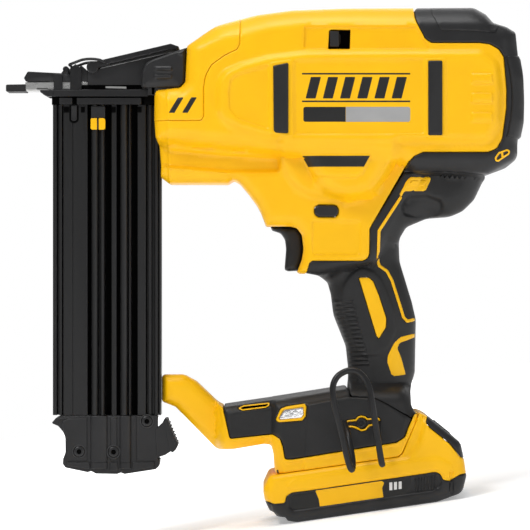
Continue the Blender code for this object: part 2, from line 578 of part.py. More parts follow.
def trigger_group():
    trigger = [(0.6, -80, 0.4), (21.4, -80, 0), (21.4, -104, 1), (12.5, -104.6, 2), (10.5, -102, 2),
               (11.6, -91, 12), (8.5, -84, 5), (2.5, -81.5, 3)]
    node("trigger", "black", slab(trigger, -8, 8),
         add=[block(18, 27, -6, 6, -95, -92)])
    node("trigger_spring", "steel", coil((0, 0, -87), 21.8, 31.7, 2.8, 0.5, 5, 8, 4))
    node("trigger_switch", "black", block(36, 52, -9, 9, -94, -77),
         add=[block(32, 37, -5, 5, -90, -84)])
    node("lock_off_button", "black", slab(LOCK_BUTTON, -24.5, 24.5))
    node("stall_lever", "black", block(36, 41.5, -35.6, -24, 21.2, 30.2))
    node("mode_button", "black",
         slab([on_stand(-58, 63), on_stand(-58, 70, 1), on_stand(-44, 70, 1), on_stand(-44, 63)],
              -28, -16))
    node("control_board", "black",
         slab([on_stand(-30, 40), on_stand(-30, 50), on_stand(12, 50), on_stand(12, 40)], -22, 22))


# --------------------------------------------------------------- magazine

def magazine():
    rail = [(-120.6, NAIL_GAP, 0), (-67.2, NAIL_GAP, 0), (-67.2, -7.6, 0), (-71.5, -7.6, 0),
            (-71.5, -9, 0), (MAGAZINE_REAR, -9, 0.6), (MAGAZINE_REAR, 9, 0.6), (-70, 9, 0),
            (-72, 5.8, 0), (-120.6, 5.8, 0)]
    node("magazine_rail", "black_metal", bar(rail, MAGAZINE_END, MAGAZINE_TOP),
         cut=[block(-65, -61, -6.5, 6.5, MAGAZINE_END - 5, MAGAZINE_TOP + 5)])
    cover = [(MAGAZINE_FRONT, -9, 0.8), (-118.6, -9.5, 0), (-117.6, -7.5, 0), (-115.8, -8.6, 0),
             (-101, -8.6, 0), (-100.2, -6.8, 0), (-99, -9.6, 0), (-96.8, -11, 0), (-93.2, -11, 0),
             (-91, -9.6, 0), (-90.4, -6.8, 0), (-88.4, -6.8, 0), (-88, -9, 0), (-84.4, -9, 0),
             (-84, -6.8, 0), (-82.8, -6.8, 0), (-82.2, -9.6, 0), (-80.6, -11, 0), (-77, -11, 0),
             (-75.4, -9.6, 0), (-74.8, -6.8, 0), (-67.6, -6.8, 0), (-67.6, -NAIL_GAP, 0),
             (-120.9, -NAIL_GAP, 0), (-120.9, 6.5, 0), (MAGAZINE_FRONT, 6.5, 0.5)]
    node("magazine_cover", "black_metal", bar(cover, MAGAZINE_END, MAGAZINE_TOP),
         cut=[block(-98.8, -91.2, -15, 2, -180, -15)])
    node("pusher", "yellow", block(-98.4, -91.6, -11.6, 0.6, -24.3, -17.6),
         add=[block(-118, -70, -0.6, 0.6, -24.3, -17.6)])
    foot = [(MAGAZINE_FRONT, -186.3, 1), (-61, -186.3, 0), (-61, -211, 3), (-64, -216.5, 4),
            (-82, -219.3, 8), (-101, -217.8, 6), (-114.8, -213.5, 2), (-115, -201, 6),
            (-121.5, -190.5, 1)]
    node("magazine_foot", "black", slab(foot, -11, 11),
         cut=[slab(inset(foot, 3), -8, 8), block(-116, -64, -8, 8, -192, -180)])
    latch = [(-60.2, -187, 1), (-54.5, -186.7, 1), (-49.5, -201.5, 2), (-51.5, -207.5, 2),
             (-57, -209, 2), (-57.2, -194, 0)]
    node("magazine_latch", "black", slab(latch, -9, 9), pivot=MAG_LATCH_PIVOT)


# ---------------------------------------------------------------- battery

def battery():
    stand = FRAMES["stand"]
    split = 17.0
    far = 90
    above = block(-far, far, -far, far, split - GAP / 2, far)
    below = block(-far, far, -far, far, -far, split + GAP / 2)
    latch = [(43.4, 47.0, 0.5), (57.6, 32, 1), (55.2, 29.4, 0), (41, 44.4, 0)]
    latch_hole = [(42.9, 48.6, 0), (44, 49.5, 0), (60, 33.2, 0), (50.2, 24, 0), (34.4, 40.4, 0)]
    hollow = (BATTERY_HOLLOW, -BATTERY_HALF + WALL, BATTERY_HALF - WALL)
    node("battery_case_upper", "yellow", slab(BATTERY, -BATTERY_HALF, BATTERY_HALF),
         add=[block(-21, 30, -16, 16, 27, 34)],
         cut=[slab(*hollow), below, slab(latch_hole, -18.4, 18.4)], frame=stand)
    node("battery_case_lower", "black", slab(BATTERY, -BATTERY_HALF, BATTERY_HALF),
         cut=[slab(*hollow), above], frame=stand)
    node("battery_latch", "black", slab(latch, -18, 18), frame=stand)
    for number in range(CELL_COUNT):
        x = (number - (CELL_COUNT - 1) / 2) * CELL_PITCH
        node(f"battery_cell_{number + 1}", "cell",
             rod((x, 0, CELL_HEIGHT), (0, 1, 0), -CELL_LENGTH / 2, CELL_LENGTH / 2, CELL_RADIUS, 20),
             frame=stand)


# ------------------------------------------------------------------- build

def empty(name, location, tilt):
    frame = bpy.data.objects.new(name, None)
    frame.location = location
    frame.rotation_euler = (0, tilt, 0)
    bpy.context.scene.collection.objects.link(frame)
    return frame


for old in list(bpy.data.objects):
    bpy.data.objects.remove(old)

FRAMES = {"tool": empty("tool_frame", (-DRIVE_SETBACK * MM, 0, DRIVE_HEIGHT * MM), TILT),
          "stand": empty("stand_frame", (0, 0, 0), 0)}
FINISHES = {"yellow": finish("yellow_plastic", (1.0, 0.52, 0.01), 0.4),
            "black": finish("black_plastic", (0.025, 0.025, 0.026), 0.5),
            "rubber": finish("black_rubber", (0.02, 0.02, 0.021), 0.7),
            "black_metal": finish("black_metal", (0.03, 0.03, 0.032), 0.4, 0.6),
            "steel": finish("steel", (0.6, 0.6, 0.6), 0.3, 1.0),
            "copper": finish("copper", (0.6, 0.3, 0.15), 0.4, 1.0),
            "cell": finish("cell_wrap", (0.1, 0.25, 0.4), 0.4),
            "lens": finish("clear_lens", (0.8, 0.82, 0.85), 0.1)}

housing_halves()
front_shroud()
rear_parts()
grips()
side_pads()
lenses()
belt_hook()
nose_frame()
nose_housing()
nose_latch()
contact_trip()
motor()
driver()
pinch()
trigger_group()
magazine()
battery()
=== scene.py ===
import json
import math

import bmesh
import bpy
import numpy as np
from mathutils import Matrix, Vector, geometry


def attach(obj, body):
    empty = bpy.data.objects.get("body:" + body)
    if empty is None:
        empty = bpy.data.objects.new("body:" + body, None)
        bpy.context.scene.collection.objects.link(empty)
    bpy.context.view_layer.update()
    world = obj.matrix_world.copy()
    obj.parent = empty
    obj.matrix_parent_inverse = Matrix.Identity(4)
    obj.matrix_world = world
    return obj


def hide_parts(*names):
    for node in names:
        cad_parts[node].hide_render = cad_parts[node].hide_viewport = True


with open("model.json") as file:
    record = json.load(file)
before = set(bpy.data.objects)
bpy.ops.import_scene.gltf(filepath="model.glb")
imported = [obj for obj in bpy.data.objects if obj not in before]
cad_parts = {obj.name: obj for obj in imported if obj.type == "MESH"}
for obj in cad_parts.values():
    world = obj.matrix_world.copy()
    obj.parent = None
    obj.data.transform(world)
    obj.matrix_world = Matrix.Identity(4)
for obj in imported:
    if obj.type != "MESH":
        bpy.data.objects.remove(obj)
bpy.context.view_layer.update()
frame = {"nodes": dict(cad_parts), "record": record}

MM = 0.001
TILT = math.radians(8.3)
DRIVE_HEIGHT = 245.0
DRIVE_SETBACK = 20.8
TOOL = (Matrix.Translation((-DRIVE_SETBACK * MM, 0, DRIVE_HEIGHT * MM)) @ Matrix.Rotation(TILT, 4,
        'Y') @ Matrix.Scale(MM, 4))


# Shapes are in tool-frame millimetres: X runs back along the drive line, Y across, Z up.

def on_stand(x, z, radius=1.5):
    """A point of the upright frame, whose floor is Z = 0, as a tool-frame corner."""
    x += DRIVE_SETBACK
    z -= DRIVE_HEIGHT
    return (x * math.cos(TILT) - z * math.sin(TILT), x * math.sin(TILT) + z * math.cos(TILT),
        radius)


def stood(*corners):
    """Corners of the upright frame as a list of tool-frame corners."""
    return [on_stand(*corner) for corner in corners]


# ---------------------------------------------------------------- outlines

ARC_STEP = math.radians(9)
STRAIGHT_CORNER = 0.02    # a corner that turns less than this, in radians, gets no arc
EDGE_SHARE = 0.48         # the most of an edge that one corner's arc takes up
BATCH = 4000              # points measured at a time, to save memory
OUTSIDE_SLOPE = 4         # how steeply a form falls away past its outline

def rounded(corners, radius=1.5, spacing=1.4):
    """Corner list (u, v) or (u, v, radius) to a closed loop with arcs and even spacing."""
    points = []
    count = len(corners)
    for index, corner in enumerate(corners):
        here = Vector(corner[:2])
        back = Vector(corners[index - 1][:2]) - here
        ahead = Vector(corners[(index + 1) % count][:2]) - here
        wanted = corner[2] if len(corner) > 2 else radius
        angle = back.angle(ahead, math.pi)
        if wanted <= 0 or math.pi - angle < STRAIGHT_CORNER:
            points.append(here)
            continue
        reach = min(wanted / math.tan(angle / 2), back.length * EDGE_SHARE,
            ahead.length * EDGE_SHARE)
        real = reach * math.tan(angle / 2)
        centre = here + (back.normalized() + ahead.normalized()).normalized() * (
            real / math.sin(angle / 2))
        start = here + back.normalized() * reach - centre
        end = here + ahead.normalized() * reach - centre
        sweep = start.angle_signed(end)
        steps = max(2, round(abs(sweep) / ARC_STEP))
        for step in range(steps + 1):
            points.append(centre + Matrix.Rotation(-sweep * step / steps, 2) @ start)
    dense = []
    for index, point in enumerate(points):
        following = points[(index + 1) % len(points)]
        gap = (following - point).length
        if gap < 1e-4:
            continue
        pieces = max(1, math.ceil(gap / spacing)) if spacing else 1
        for piece in range(pieces):
            dense.append(point.lerp(following, piece / pieces))
    return np.array([(p.x, p.y) for p in dense])


def depth_in(points, loop):
    """How far each point lies inside a closed loop; negative outside."""
    result = np.empty(len(points))
    start = loop
    end = np.roll(loop, -1, 0)
    edge = end - start
    length = (edge ** 2).sum(1)
    for first in range(0, len(points), BATCH):
        part = points[first:first + BATCH]
        offset = part[:, None] - start[None]
        along = np.clip((offset * edge).sum(2) / length, 0, 1)
        gap = np.sqrt(((offset - along[..., None] * edge) ** 2).sum(2).min(1))
        above = start[:, 1] > part[:, 1:2]
        crossing = above != (end[:, 1] > part[:, 1:2])
        with np.errstate(divide="ignore", invalid="ignore"):
            at = start[:, 0] + edge[:, 0] * (part[:, 1:2] - start[:, 1]) / edge[:, 1]
        inside = (crossing & (part[:, 0:1] < at)).sum(1) % 2 == 1
        result[first:first + BATCH] = np.where(inside, gap, -gap)
    return result


def eased(value):
    value = np.clip(value, 0, 1)
    return value * value * (3 - 2 * value)


def soft_max(a, b, blend):
    share = np.clip(0.5 + 0.5 * (a - b) / blend, 0, 1)
    return b + (a - b) * share + blend * share * (1 - share)


class Form:
    """A side-view block: outline, half width, and how far, how deep and how sharply it rounds."""

    def __init__(self, corners, half, rim, drop, power=2.0, radius=3.0):
        self.loop = rounded(corners, radius, None)
        self.half = half
        self.rim = rim
        self.drop = drop
        self.power = power

    def height(self, points):
        inside = depth_in(points, self.loop)
        left = 1 - np.clip(inside / self.rim, 0, 1)
        fall = self.drop * (1 - (1 - left ** self.power) ** (1 / self.power))
        return self.half - fall + OUTSIDE_SLOPE * np.minimum(inside, 0)


class Detail:
    """A raised (or sunk) area of a side: outline, amount, and width of its slope."""

    def __init__(self, corners, amount, width, radius=1.5):
        self.loop = rounded(corners, radius, None)
        self.ring = rounded(corners, radius, 1.3)
        self.amount = amount
        self.width = width

    def height(self, points):
        return self.amount * eased(depth_in(points, self.loop) / self.width + 0.5)


BODY = [(-62.5, -2), (-48, -1), (-45, 2), (-44, 22.5), (-28, 34, 20), (-4.5, 40.4, 40),
    (15.3, 43, 0), (46, 44.2, 0), (118, 44.5, 6), (124.5, 40.5, 3), (128.5, 35.5, 2), (136, 33, 2),
    (141, 30, 3), (142, 19.5, 1), (146, 5, 1), (146, -20, 1), (142, -32.5), (142, -41, 6),
    (125, -50.3, 8), (84, -49.5, 4), (76, -44, 3), (22, -41, 4), (-13, -36.5, 4), (-62.5, -31.5)]
BELLY = [(14, -20), (20, -36.5), (29.5, -58.5, 8), (44.5, -66.5, 10), (61.5, -63, 8), (71, -48, 4),
    (78, -34, 4), (78, -20)]
NECK_FRONT = [(-17.6, -52.8, 2), (-14.2, -54.8, 4), (-9, -61, 14), (-4.4, -67.4, 14),
    (-2.2, -71.6, 8), (0.6, -79, 1), (14.6, -79.2, 3), (18, -80.1, 3), (20.8, -84, 4),
    (21.8, -91.8, 10), (20.8, -97.8, 6), (18.2, -104.8, 0.8), (19.4, -105.9, 0.8)]
NECK = [(-60, -20), (-60, -50), (-54, -55, 1), (-21, -55, 3), *NECK_FRONT, (30, -107), (62, -100),
    (70, -82), (92, -46), (92, -20)]
HANDLE_BACK = [(76, -86, 6), (76.5, -99, 14), (83.5, -122, 20), (85.8, -132, 14), (85.2, -162, 8),
    (82.2, -172, 8), (82, -179, 3)]
HANDLE = [(24.3, -92, 1), (23, -105, 1.5), (29.5, -107, 3), (36, -111, 4), (39, -129.5, 20),
    (46, -147, 12), (47.3, -158, 10), (47, -190, 0), (84, -190, 0), *reversed(HANDLE_BACK),
    (80, -79.5, 6), (70, -70), (40, -80)]
WEB_BACK = [(118.5, -64, 10), (112, -70.5, 10), (105, -73.5, 10), (92, -74.5, 12), (80, -79.5, 6)]
WEB = [(58, -84), (84, -40), (127, -44), (124, -51, 3), *WEB_BACK, (76, -88, 4), (66, -92)]
FOOT_FRONT = [(-25, -180.3, 1), (8, -176, 1), (16, -190), (14, -211), (2, -203), (-0.5, -201.8),
    (-17.5, -204.3, 2), (-25, -204)]
FOOT_MAIN = [(3.4, -177.3, 3), (46, -170, 4), (79, -171, 5), (84.5, -183, 2),
    *stood((44, 54), (44, 12), (-46, 12)), (5.3, -216), (3.5, -202, 4)]
ARM_END = [(-51, -181.5, 4), (-58.7, -178.5, 2), (-58.7, -163.2, 2), (-46, -163.2, 6),
    (-39, -167, 5), (-25.5, -180, 4)]
ARM = [*ARM_END, (0, -183, 0), (0, -201.5, 0), (-19, -204.6, 3), (-27.5, -205.3, 4)]
EYE = [(-26.6, -6.6, 8), (-25.9, 2.2, 8), (-22.1, 7.3, 8), (-13.1, 11.5, 10), (1.4, 15.3, 20),
    (22.5, 17.8, 20), (121, 18.4, 8), (129.6, 12, 8), (131.4, -3, 20), (130.6, -22, 10),
    (124.6, -31.4, 8), (96.9, -31, 20), (14.3, -30.6, 20), (0.3, -28.9, 20), (-14.1, -25.2, 12),
    (-22.7, -20.5, 10), (-26.3, -14.8, 8)]
EYE_RECESS = [(-20.3, -5, 5), (-19.3, 2.7, 4), (-15.7, 5.6, 6), (1.9, 10.8, 1), (2.2, -25, 1),
    (-15.7, -18.8, 6), (-19.8, -14, 5)]
LABEL_LIP = [(20, -39.2, 1), (59.4, -39.2, 1), (54.9, -49, 3), (51.1, -51.4, 3), (28.3, -51.4, 3),
    (25, -48.8, 3)]
BOWL = [(8.2, -30), (8.2, -41.5, 5), (12.4, -50.2, 12), (18, -57.4, 12), (25.5, -61.6, 12),
    (36, -62.8, 20), (52, -62.3, 14), (60, -58.4, 10), (66.4, -51, 10), (72.4, -41.6, 6), (74, -30)]
BODY_FORMS = [Form(BODY, 34.4, 9, 10), Form(BELLY, 31.5, 9, 10), Form(NECK, 24, 6, 6),
    Form(HANDLE, 17, 15, 13), Form(WEB, 21, 12, 11), Form(FOOT_FRONT, 27, 5, 5, 1.3),
    Form(FOOT_MAIN, 33.5, 6, 7, 1.4), Form(ARM, 11, 4, 4, 1.2)]
BODY_DETAILS = [Detail(EYE, 3.4, 4.6, 3), Detail(EYE_RECESS, -0.9, 1.3, 2),
    Detail(LABEL_LIP, 0.9, 1.2), Detail(BOWL, 3.4, 5.2, 3),
    Detail([(3.1, 12.1), (3.3, -28.2), (15.9, -28.9), (15.3, 13.8)], 0.6, 1.1),
    Detail([(16.6, 13.9), (16.9, -27.8), (88.7, -27.6), (88.5, 14.2)], -0.6, 1.1),
    Detail([(89.5, 14.4), (89.8, -30), (101, -30), (101, 14.4)], 0.5, 1.1),
    Detail([(22.4, 32.8, 1), (84.6, 32.8, 1), (92, 19.8, 1), (21.7, 19.8, 2)], -1.2, 1.4),
    Detail([(26.6, -76), (53.5, -76), (53.5, -95), (26.6, -95)], -0.5, 0.8),
    Detail([(77, -66, 4), (82, -62.6, 3), (91, -61.8, 4), (99, -64.6, 3), (100.5, -69.4, 3),
        (96, -72.6, 3), (85, -74.3, 4), (78.5, -72.6, 3)], -2.6, 3.0),
    Detail([(-63, -28, 1), (-55.2, -35.4, 2), (-23, -38.6, 8), (8, -40.4, 2), (8, -48, 2),
        (-19.9, -48.2, 1), (-54.2, -45.2, 1), (-63, -44, 1)], -2.6, 2.6),
    Detail([(-60, -44.8, 1), (-54, -46.8, 1), (-19.9, -49.8, 1), (-12, -60, 1), (-60, -60, 1)],
        -0.7, 1.0), Detail([(-56, 28, 1), (-54.4, -60, 1), (-66, -60, 1), (-66, 28, 1)], -1.2, 1.6),
    Detail([(6, -176), (4.3, -192), (9.5, -199, 3), (11.5, -212), (77, -201), (79, -187),
        (69, -179), (61, -175), (47, -174), (24, -178.3)], 0.7, 1.8),
    Detail([(24.3, -178.8, 2), (47.5, -173.9, 2), (60.8, -174.8, 2), (69.3, -178.9, 2),
        (84, -187, 1), (84, -230, 1), (20, -230, 1)], 0.8, 1.6),
    Detail([(55, -102.4, 3), (61, -104.4, 5), (65.4, -108.6, 5), (69.4, -117, 8), (73.2, -127.4, 8),
        (74, -138, 8), (70, -147, 6), (64, -152, 6), (52, -152, 6), (47, -136, 20), (42.4, -121, 6),
        (43.6, -114, 6), (47, -108, 5), (51, -104, 5)], 0.9, 2.2)]
for ridge in range(15):
    low = -121.5 - 2.5 * ridge
    lead = 36.5 + 9.5 * ridge / 14
    BODY_DETAILS.append(Detail([(lead - 2, low), (lead + 13, low + 0.6), (lead + 13, low - 0.7),
            (lead - 2, low - 1.3)], 0.85, 0.8, 0.4))
for rib in range(3):
    high = 14.0 - 10.8 * rib
    BODY_DETAILS.append(Detail([(115.3, high - 8.2), (115.3, high - 13.4), (126.8, high - 13.4),
            (126.8, high - 8.2)], 1.0, 1.3, 1.0))


# Outside these limits the body's side falls towards the nose, the tail and the top.
CROWN_FRONT, CROWN_REAR, CROWN_TOP = -20, 128, 17
CROWN_SLOPE_ALONG, CROWN_SLOPE_UP = 0.11, 0.09
# Above this side-view line the body's side slopes in to the roof.
CREASE_X = (-52, -24, -14, 2, 22)
CREASE_Z = (20, 26.1, 27.4, 31.6, 33.9)
CREASE_SLOPE = 0.75
FORM_BLEND = 2.0


def skin(points, forms, details):
    """Half width of the side surface at each side-view point."""
    height = forms[0].height(points)
    for form in forms[1:]:
        height = soft_max(height, form.height(points), FORM_BLEND)
    if forms is BODY_FORMS:
        beyond_x = np.maximum(np.maximum(CROWN_FRONT - points[:, 0], points[:, 0] - CROWN_REAR), 0)
        beyond_z = np.maximum(points[:, 1] - CROWN_TOP, 0)
        crease = np.interp(points[:, 0], CREASE_X, CREASE_Z)
        above = np.maximum(points[:, 1] - crease, 0)
        height = height - np.hypot(CROWN_SLOPE_ALONG * beyond_x,
            CROWN_SLOPE_UP * beyond_z) - CREASE_SLOPE * above
    for detail in details:
        height = height + detail.height(points)
    return height


# ------------------------------------------------------------------ meshes

# Angles, in degrees, above which an edge stays sharp or gets a bevel.
SHARP_EDGE = 35
RELIEF_SHARP_EDGE = 42
BEVELLED_EDGE = 32
# Rings of points inside a region's boundary: shares of its roll, then distances past it.
RING_SHARES = (0.12, 0.4, 1)
RINGS_PAST_ROLL = (0.7, 1.6, 2.8)
RINGS_AT_FULL_DENSITY = 3
RING_ROOM = 0.93
# Grid rows lie closer than their points, as in a triangular grid; one point is kept per cell.
ROW_RATIO = 0.87
POINT_CELL = 0.3
THINNEST = 0.3


def finish_piece(name, mesh, material, replaced=(), body="tool_body", slot=None, bevel=0.0,
        sharp=SHARP_EDGE):
    """Mesh data becomes a named piece in its material that rides on its body."""
    slot = slot or SLOT_OF.get(material, material)
    mesh.polygons.foreach_set("use_smooth", [True] * len(mesh.polygons))
    mesh.set_sharp_from_angle(angle=math.radians(sharp))
    mesh.materials.append(MATERIALS[material])
    piece = bpy.data.objects.new(name, mesh)
    bpy.context.scene.collection.objects.link(piece)
    if bevel:
        edge = piece.modifiers.new("edge", 'BEVEL')
        edge.width = bevel * MM
        edge.segments = 2
        edge.limit_method = 'ANGLE'
        edge.angle_limit = math.radians(BEVELLED_EDGE)
    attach(piece, body)
    if replaced:
        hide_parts(*replaced)


def mesh_from(name, verts, faces):
    mesh = bpy.data.meshes.new(name)
    mesh.from_pydata([TOOL @ Vector(v) for v in verts], [], faces)
    mesh.update()
    return mesh


def normals(loop):
    """Unit normals at the points of a closed loop, all on its same side."""
    tangent = np.roll(loop, -1, 0) - np.roll(loop, 1, 0)
    normal = np.stack([-tangent[:, 1], tangent[:, 0]], 1)
    return normal / np.linalg.norm(normal, axis=1)[:, None]


def side_points(loops, roll, details, spacing):
    """Boundary, ring and grid points of a side-view region, with its boundary edges."""
    def room(points):
        inside = depth_in(points, loops[0])
        for hole in loops[1:]:
            inside = np.minimum(inside, -depth_in(points, hole))
        return inside

    edges = []
    total = 0
    for loop in loops:
        count = len(loop)
        edges += [(total + i, total + (i + 1) % count) for i in range(count)]
        total += count
    points = [np.concatenate(loops)]
    offsets = [roll * share for share in RING_SHARES] + [roll + gap for gap in RINGS_PAST_ROLL]
    for loop in loops:
        normal = normals(loop)
        if room(loop + 0.05 * normal).mean() < 0:
            normal = -normal
        for number, offset in enumerate(offsets):
            moved = loop + normal * offset
            if number > RINGS_AT_FULL_DENSITY:
                moved = moved[::2]
            points.append(moved[room(moved) > offset * RING_ROOM])
    for detail in details:
        normal = normals(detail.ring)
        for share in (-0.5, -0.25, 0, 0.25, 0.5):
            moved = detail.ring + normal * detail.width * share
            points.append(moved[room(moved) > roll + 0.3])
    low = loops[0].min(0)
    high = loops[0].max(0)
    rows = np.arange(low[1], high[1], spacing * ROW_RATIO)
    grid = np.array([(x + (spacing / 2 if n % 2 else 0), z) for n, z in enumerate(rows)
            for x in np.arange(low[0], high[0], spacing)])
    grid = grid[room(grid) > roll + RINGS_PAST_ROLL[-1] + spacing * 0.4]
    for detail in details:
        grid = grid[np.abs(depth_in(grid, detail.loop)) > detail.width * 0.5 + 0.5]
    everything = np.concatenate(points + [grid])
    kept = list(range(total))
    cells = {(round(x / POINT_CELL), round(z / POINT_CELL)) for x, z in everything[:total]}
    for index in range(total, len(everything)):
        cell = (round(everything[index, 0] / POINT_CELL), round(everything[index, 1] / POINT_CELL))
        if cell not in cells:
            cells.add(cell)
            kept.append(index)
    return everything[kept], edges, room


def relief(name, outline, material, replaced=(), body="tool_body", slot=None, holes=(), forms=None,
        details=None, lift=0.0, roll=0.6, wall=2.5, middle=0.15, joined=False, side=-1, spacing=2.4,
        floor=None, clear=None):
    """A curved shell over a side-view outline, its outer face following the skin of its forms.

    joined makes one shell over both sides; otherwise side says which half it is. The wall
    runs through to middle along the silhouette. floor gives a flat back instead. clear, an
    outline and a half width, keeps the inside of that outline open to that width.
    """
    forms = forms or BODY_FORMS
    details = BODY_DETAILS if details is None else details
    loops = [rounded(outline)] + [rounded(hole) for hole in holes]
    used = [d for d in details if (depth_in(d.ring, loops[0]) > 0).any()
        or (depth_in(loops[0], d.loop) > -d.width).any()]
    points, edges, room = side_points(loops, roll, used, spacing)
    out = geometry.delaunay_2d_cdt([Vector(p) for p in points], edges, [], 0, 1e-6)
    flat = np.array([(v.x, v.y) for v in out[0]])
    triangles = np.array([face for face in out[2] if len(face) == 3])
    triangles = triangles[room(flat[triangles].mean(1)) > 0]
    inside = np.maximum(room(flat), 0)
    rolled = roll * (1 - np.sqrt(1 - (1 - np.clip(inside / roll, 0, 1)) ** 2)) if roll else 0
    outer = skin(flat, forms, used) + lift - rolled
    middle = 0.0 if joined else middle
    outer = np.maximum(outer, middle + THINNEST)
    if floor is None:
        under = np.maximum(outer - wall, middle)
        border = np.full(len(flat), -1e9)
        for form in forms:
            border = np.maximum(border, depth_in(flat, form.loop))
        under[border < wall] = middle
    else:
        under = np.minimum(np.full(len(flat), float(floor)), outer - THINNEST)
    if clear:
        opened = depth_in(flat, np.array(clear[0], float)) > 0
        under[opened] = np.minimum(np.maximum(under[opened], clear[1]), outer[opened] - THINNEST)
    count = len(flat)
    verts = [(x, -y, z) for (x, z), y in zip(flat, outer)]
    verts += [(x, -y, z) for (x, z), y in zip(flat, under)]
    clockwise = np.cross(flat[triangles[:, 1]] - flat[triangles[:, 0]],
        flat[triangles[:, 2]] - flat[triangles[:, 0]]) < 0
    triangles[clockwise] = triangles[clockwise][:, ::-1]
    faces = [tuple(int(i) for i in t) for t in triangles]
    half_edges = {(a, b) for f in faces for a, b in ((f[0], f[1]), (f[1], f[2]), (f[2], f[0]))}
    walls = [(b, a, a + count, b + count) for a, b in half_edges if (b, a) not in half_edges]
    backs = [(f[2] + count, f[1] + count, f[0] + count) for f in faces]
    if joined:
        at_middle = under <= 1e-9
        backs = [f for f in backs if not all(at_middle[i - count] for i in f)]
    shape = bmesh.new()
    for x, y, z in verts:
        shape.verts.new(TOOL @ Vector((x, y, z)))
    shape.verts.ensure_lookup_table()
    for face in faces + walls + backs:
        shape.faces.new([shape.verts[i] for i in face])
    if joined:
        made = bmesh.ops.duplicate(shape, geom=shape.verts[:] + shape.edges[:] + shape.faces[:])
        copied = [item for item in made["geom"] if isinstance(item, bmesh.types.BMVert)]
        copied_faces = [item for item in made["geom"] if isinstance(item, bmesh.types.BMFace)]
        for vert in copied:
            vert.co.y = -vert.co.y
        bmesh.ops.reverse_faces(shape, faces=copied_faces)
        bmesh.ops.remove_doubles(shape, verts=[v for v in shape.verts if abs(v.co.y) < 1e-7],
            dist=1e-7)
    elif side > 0:
        for vert in shape.verts:
            vert.co.y = -vert.co.y
        bmesh.ops.reverse_faces(shape, faces=shape.faces[:])
    loose = [v for v in shape.verts if not v.link_faces]
    bmesh.ops.delete(shape, geom=loose, context='VERTS')
    mesh = bpy.data.meshes.new(name)
    shape.to_mesh(mesh)
    shape.free()
    finish_piece(name, mesh, material, replaced, body, slot, sharp=RELIEF_SHARP_EDGE)


def both_sides(stem, outline, material, replaced=(), **options):
    """The left and the right relief of one outline; replaced leaves out _left and _right."""
    for side, word in ((-1, "left"), (1, "right")):
        nodes = [n if n in frame["nodes"] else f"{n}_{word}" for n in replaced]
        relief(f"{stem}_{word}", outline, material, nodes, side=side, **options)


def prism(outline, a, b, axis='Y'):
    """A closed outline swept from a to b along an axis: Y takes (x, z), Z (x, y), X (y, z)."""
    loop = rounded(outline, spacing=None)
    if (np.roll(loop, -1, 0)[:, 1] * loop[:, 0] - np.roll(loop, -1, 0)[:, 0] * loop[:,
                1]).sum() < 0:
        loop = loop[::-1]
    lift = {'Y': lambda u, v, w: (u, w, v), 'Z': lambda u, v, w: (u, v, w), 'X': lambda u, v,
        w: (w, u, v)}[axis]
    count = len(loop)
    low, high = min(a, b), max(a, b)
    verts = [lift(u, v, low) for u, v in loop] + [lift(u, v, high) for u, v in loop]
    faces = [tuple(reversed(range(count))), tuple(range(count, 2 * count))]
    faces += [(i, (i + 1) % count, (i + 1) % count + count, i + count) for i in range(count)]
    if axis == 'Y':
        faces = [tuple(reversed(f)) for f in faces]
    return verts, faces


def box(x0, x1, y0, y1, z0, z1):
    return prism([(x0, y0, 0), (x1, y0, 0), (x1, y1, 0), (x0, y1, 0)], z0, z1, 'Z')


def lathe(profile, centre, axis, sides=32):
    """Profile of (distance along the axis, radius) turned about an axis through centre."""
    turn = Vector((0, 0, 1)).rotation_difference(Vector(axis)).to_matrix()
    middle = Vector(centre)
    verts = []
    rings = []
    for along, radius in profile:
        if radius <= 0:
            rings.append([len(verts)])
            verts.append(tuple(middle + turn @ Vector((0, 0, along))))
            continue
        rings.append(list(range(len(verts), len(verts) + sides)))
        for step in range(sides):
            angle = 2 * math.pi * step / sides
            spot = Vector((radius * math.cos(angle), radius * math.sin(angle), along))
            verts.append(tuple(middle + turn @ spot))
    faces = []
    closed = profile[0][1] > 0
    for first, second in zip(rings, rings[1:] + rings[:1] if closed else rings[1:]):
        for step in range(sides):
            ahead = (step + 1) % sides
            corners = [first[step % len(first)], first[ahead % len(first)],
                second[ahead % len(second)], second[step % len(second)]]
            corners = list(dict.fromkeys(corners))
            if len(corners) > 2:
                faces.append(tuple(corners))
    return verts, faces


def curve_through(points, steps=6):
    """Catmull-Rom path through points."""
    path = []
    knots = [points[0], *points, points[-1]]
    for a, b, c, d in zip(knots, knots[1:], knots[2:], knots[3:]):
        a, b, c, d = Vector(a), Vector(b), Vector(c), Vector(d)
        for step in range(steps):
            t = step / steps
            path.append(0.5 * (2 * b + (c - a) * t + (2 * a - 5 * b + 4 * c - d) * t ** 2
                    + (3 * b - a - 3 * c + d) * t ** 3))
    path.append(Vector(points[-1]))
    return path


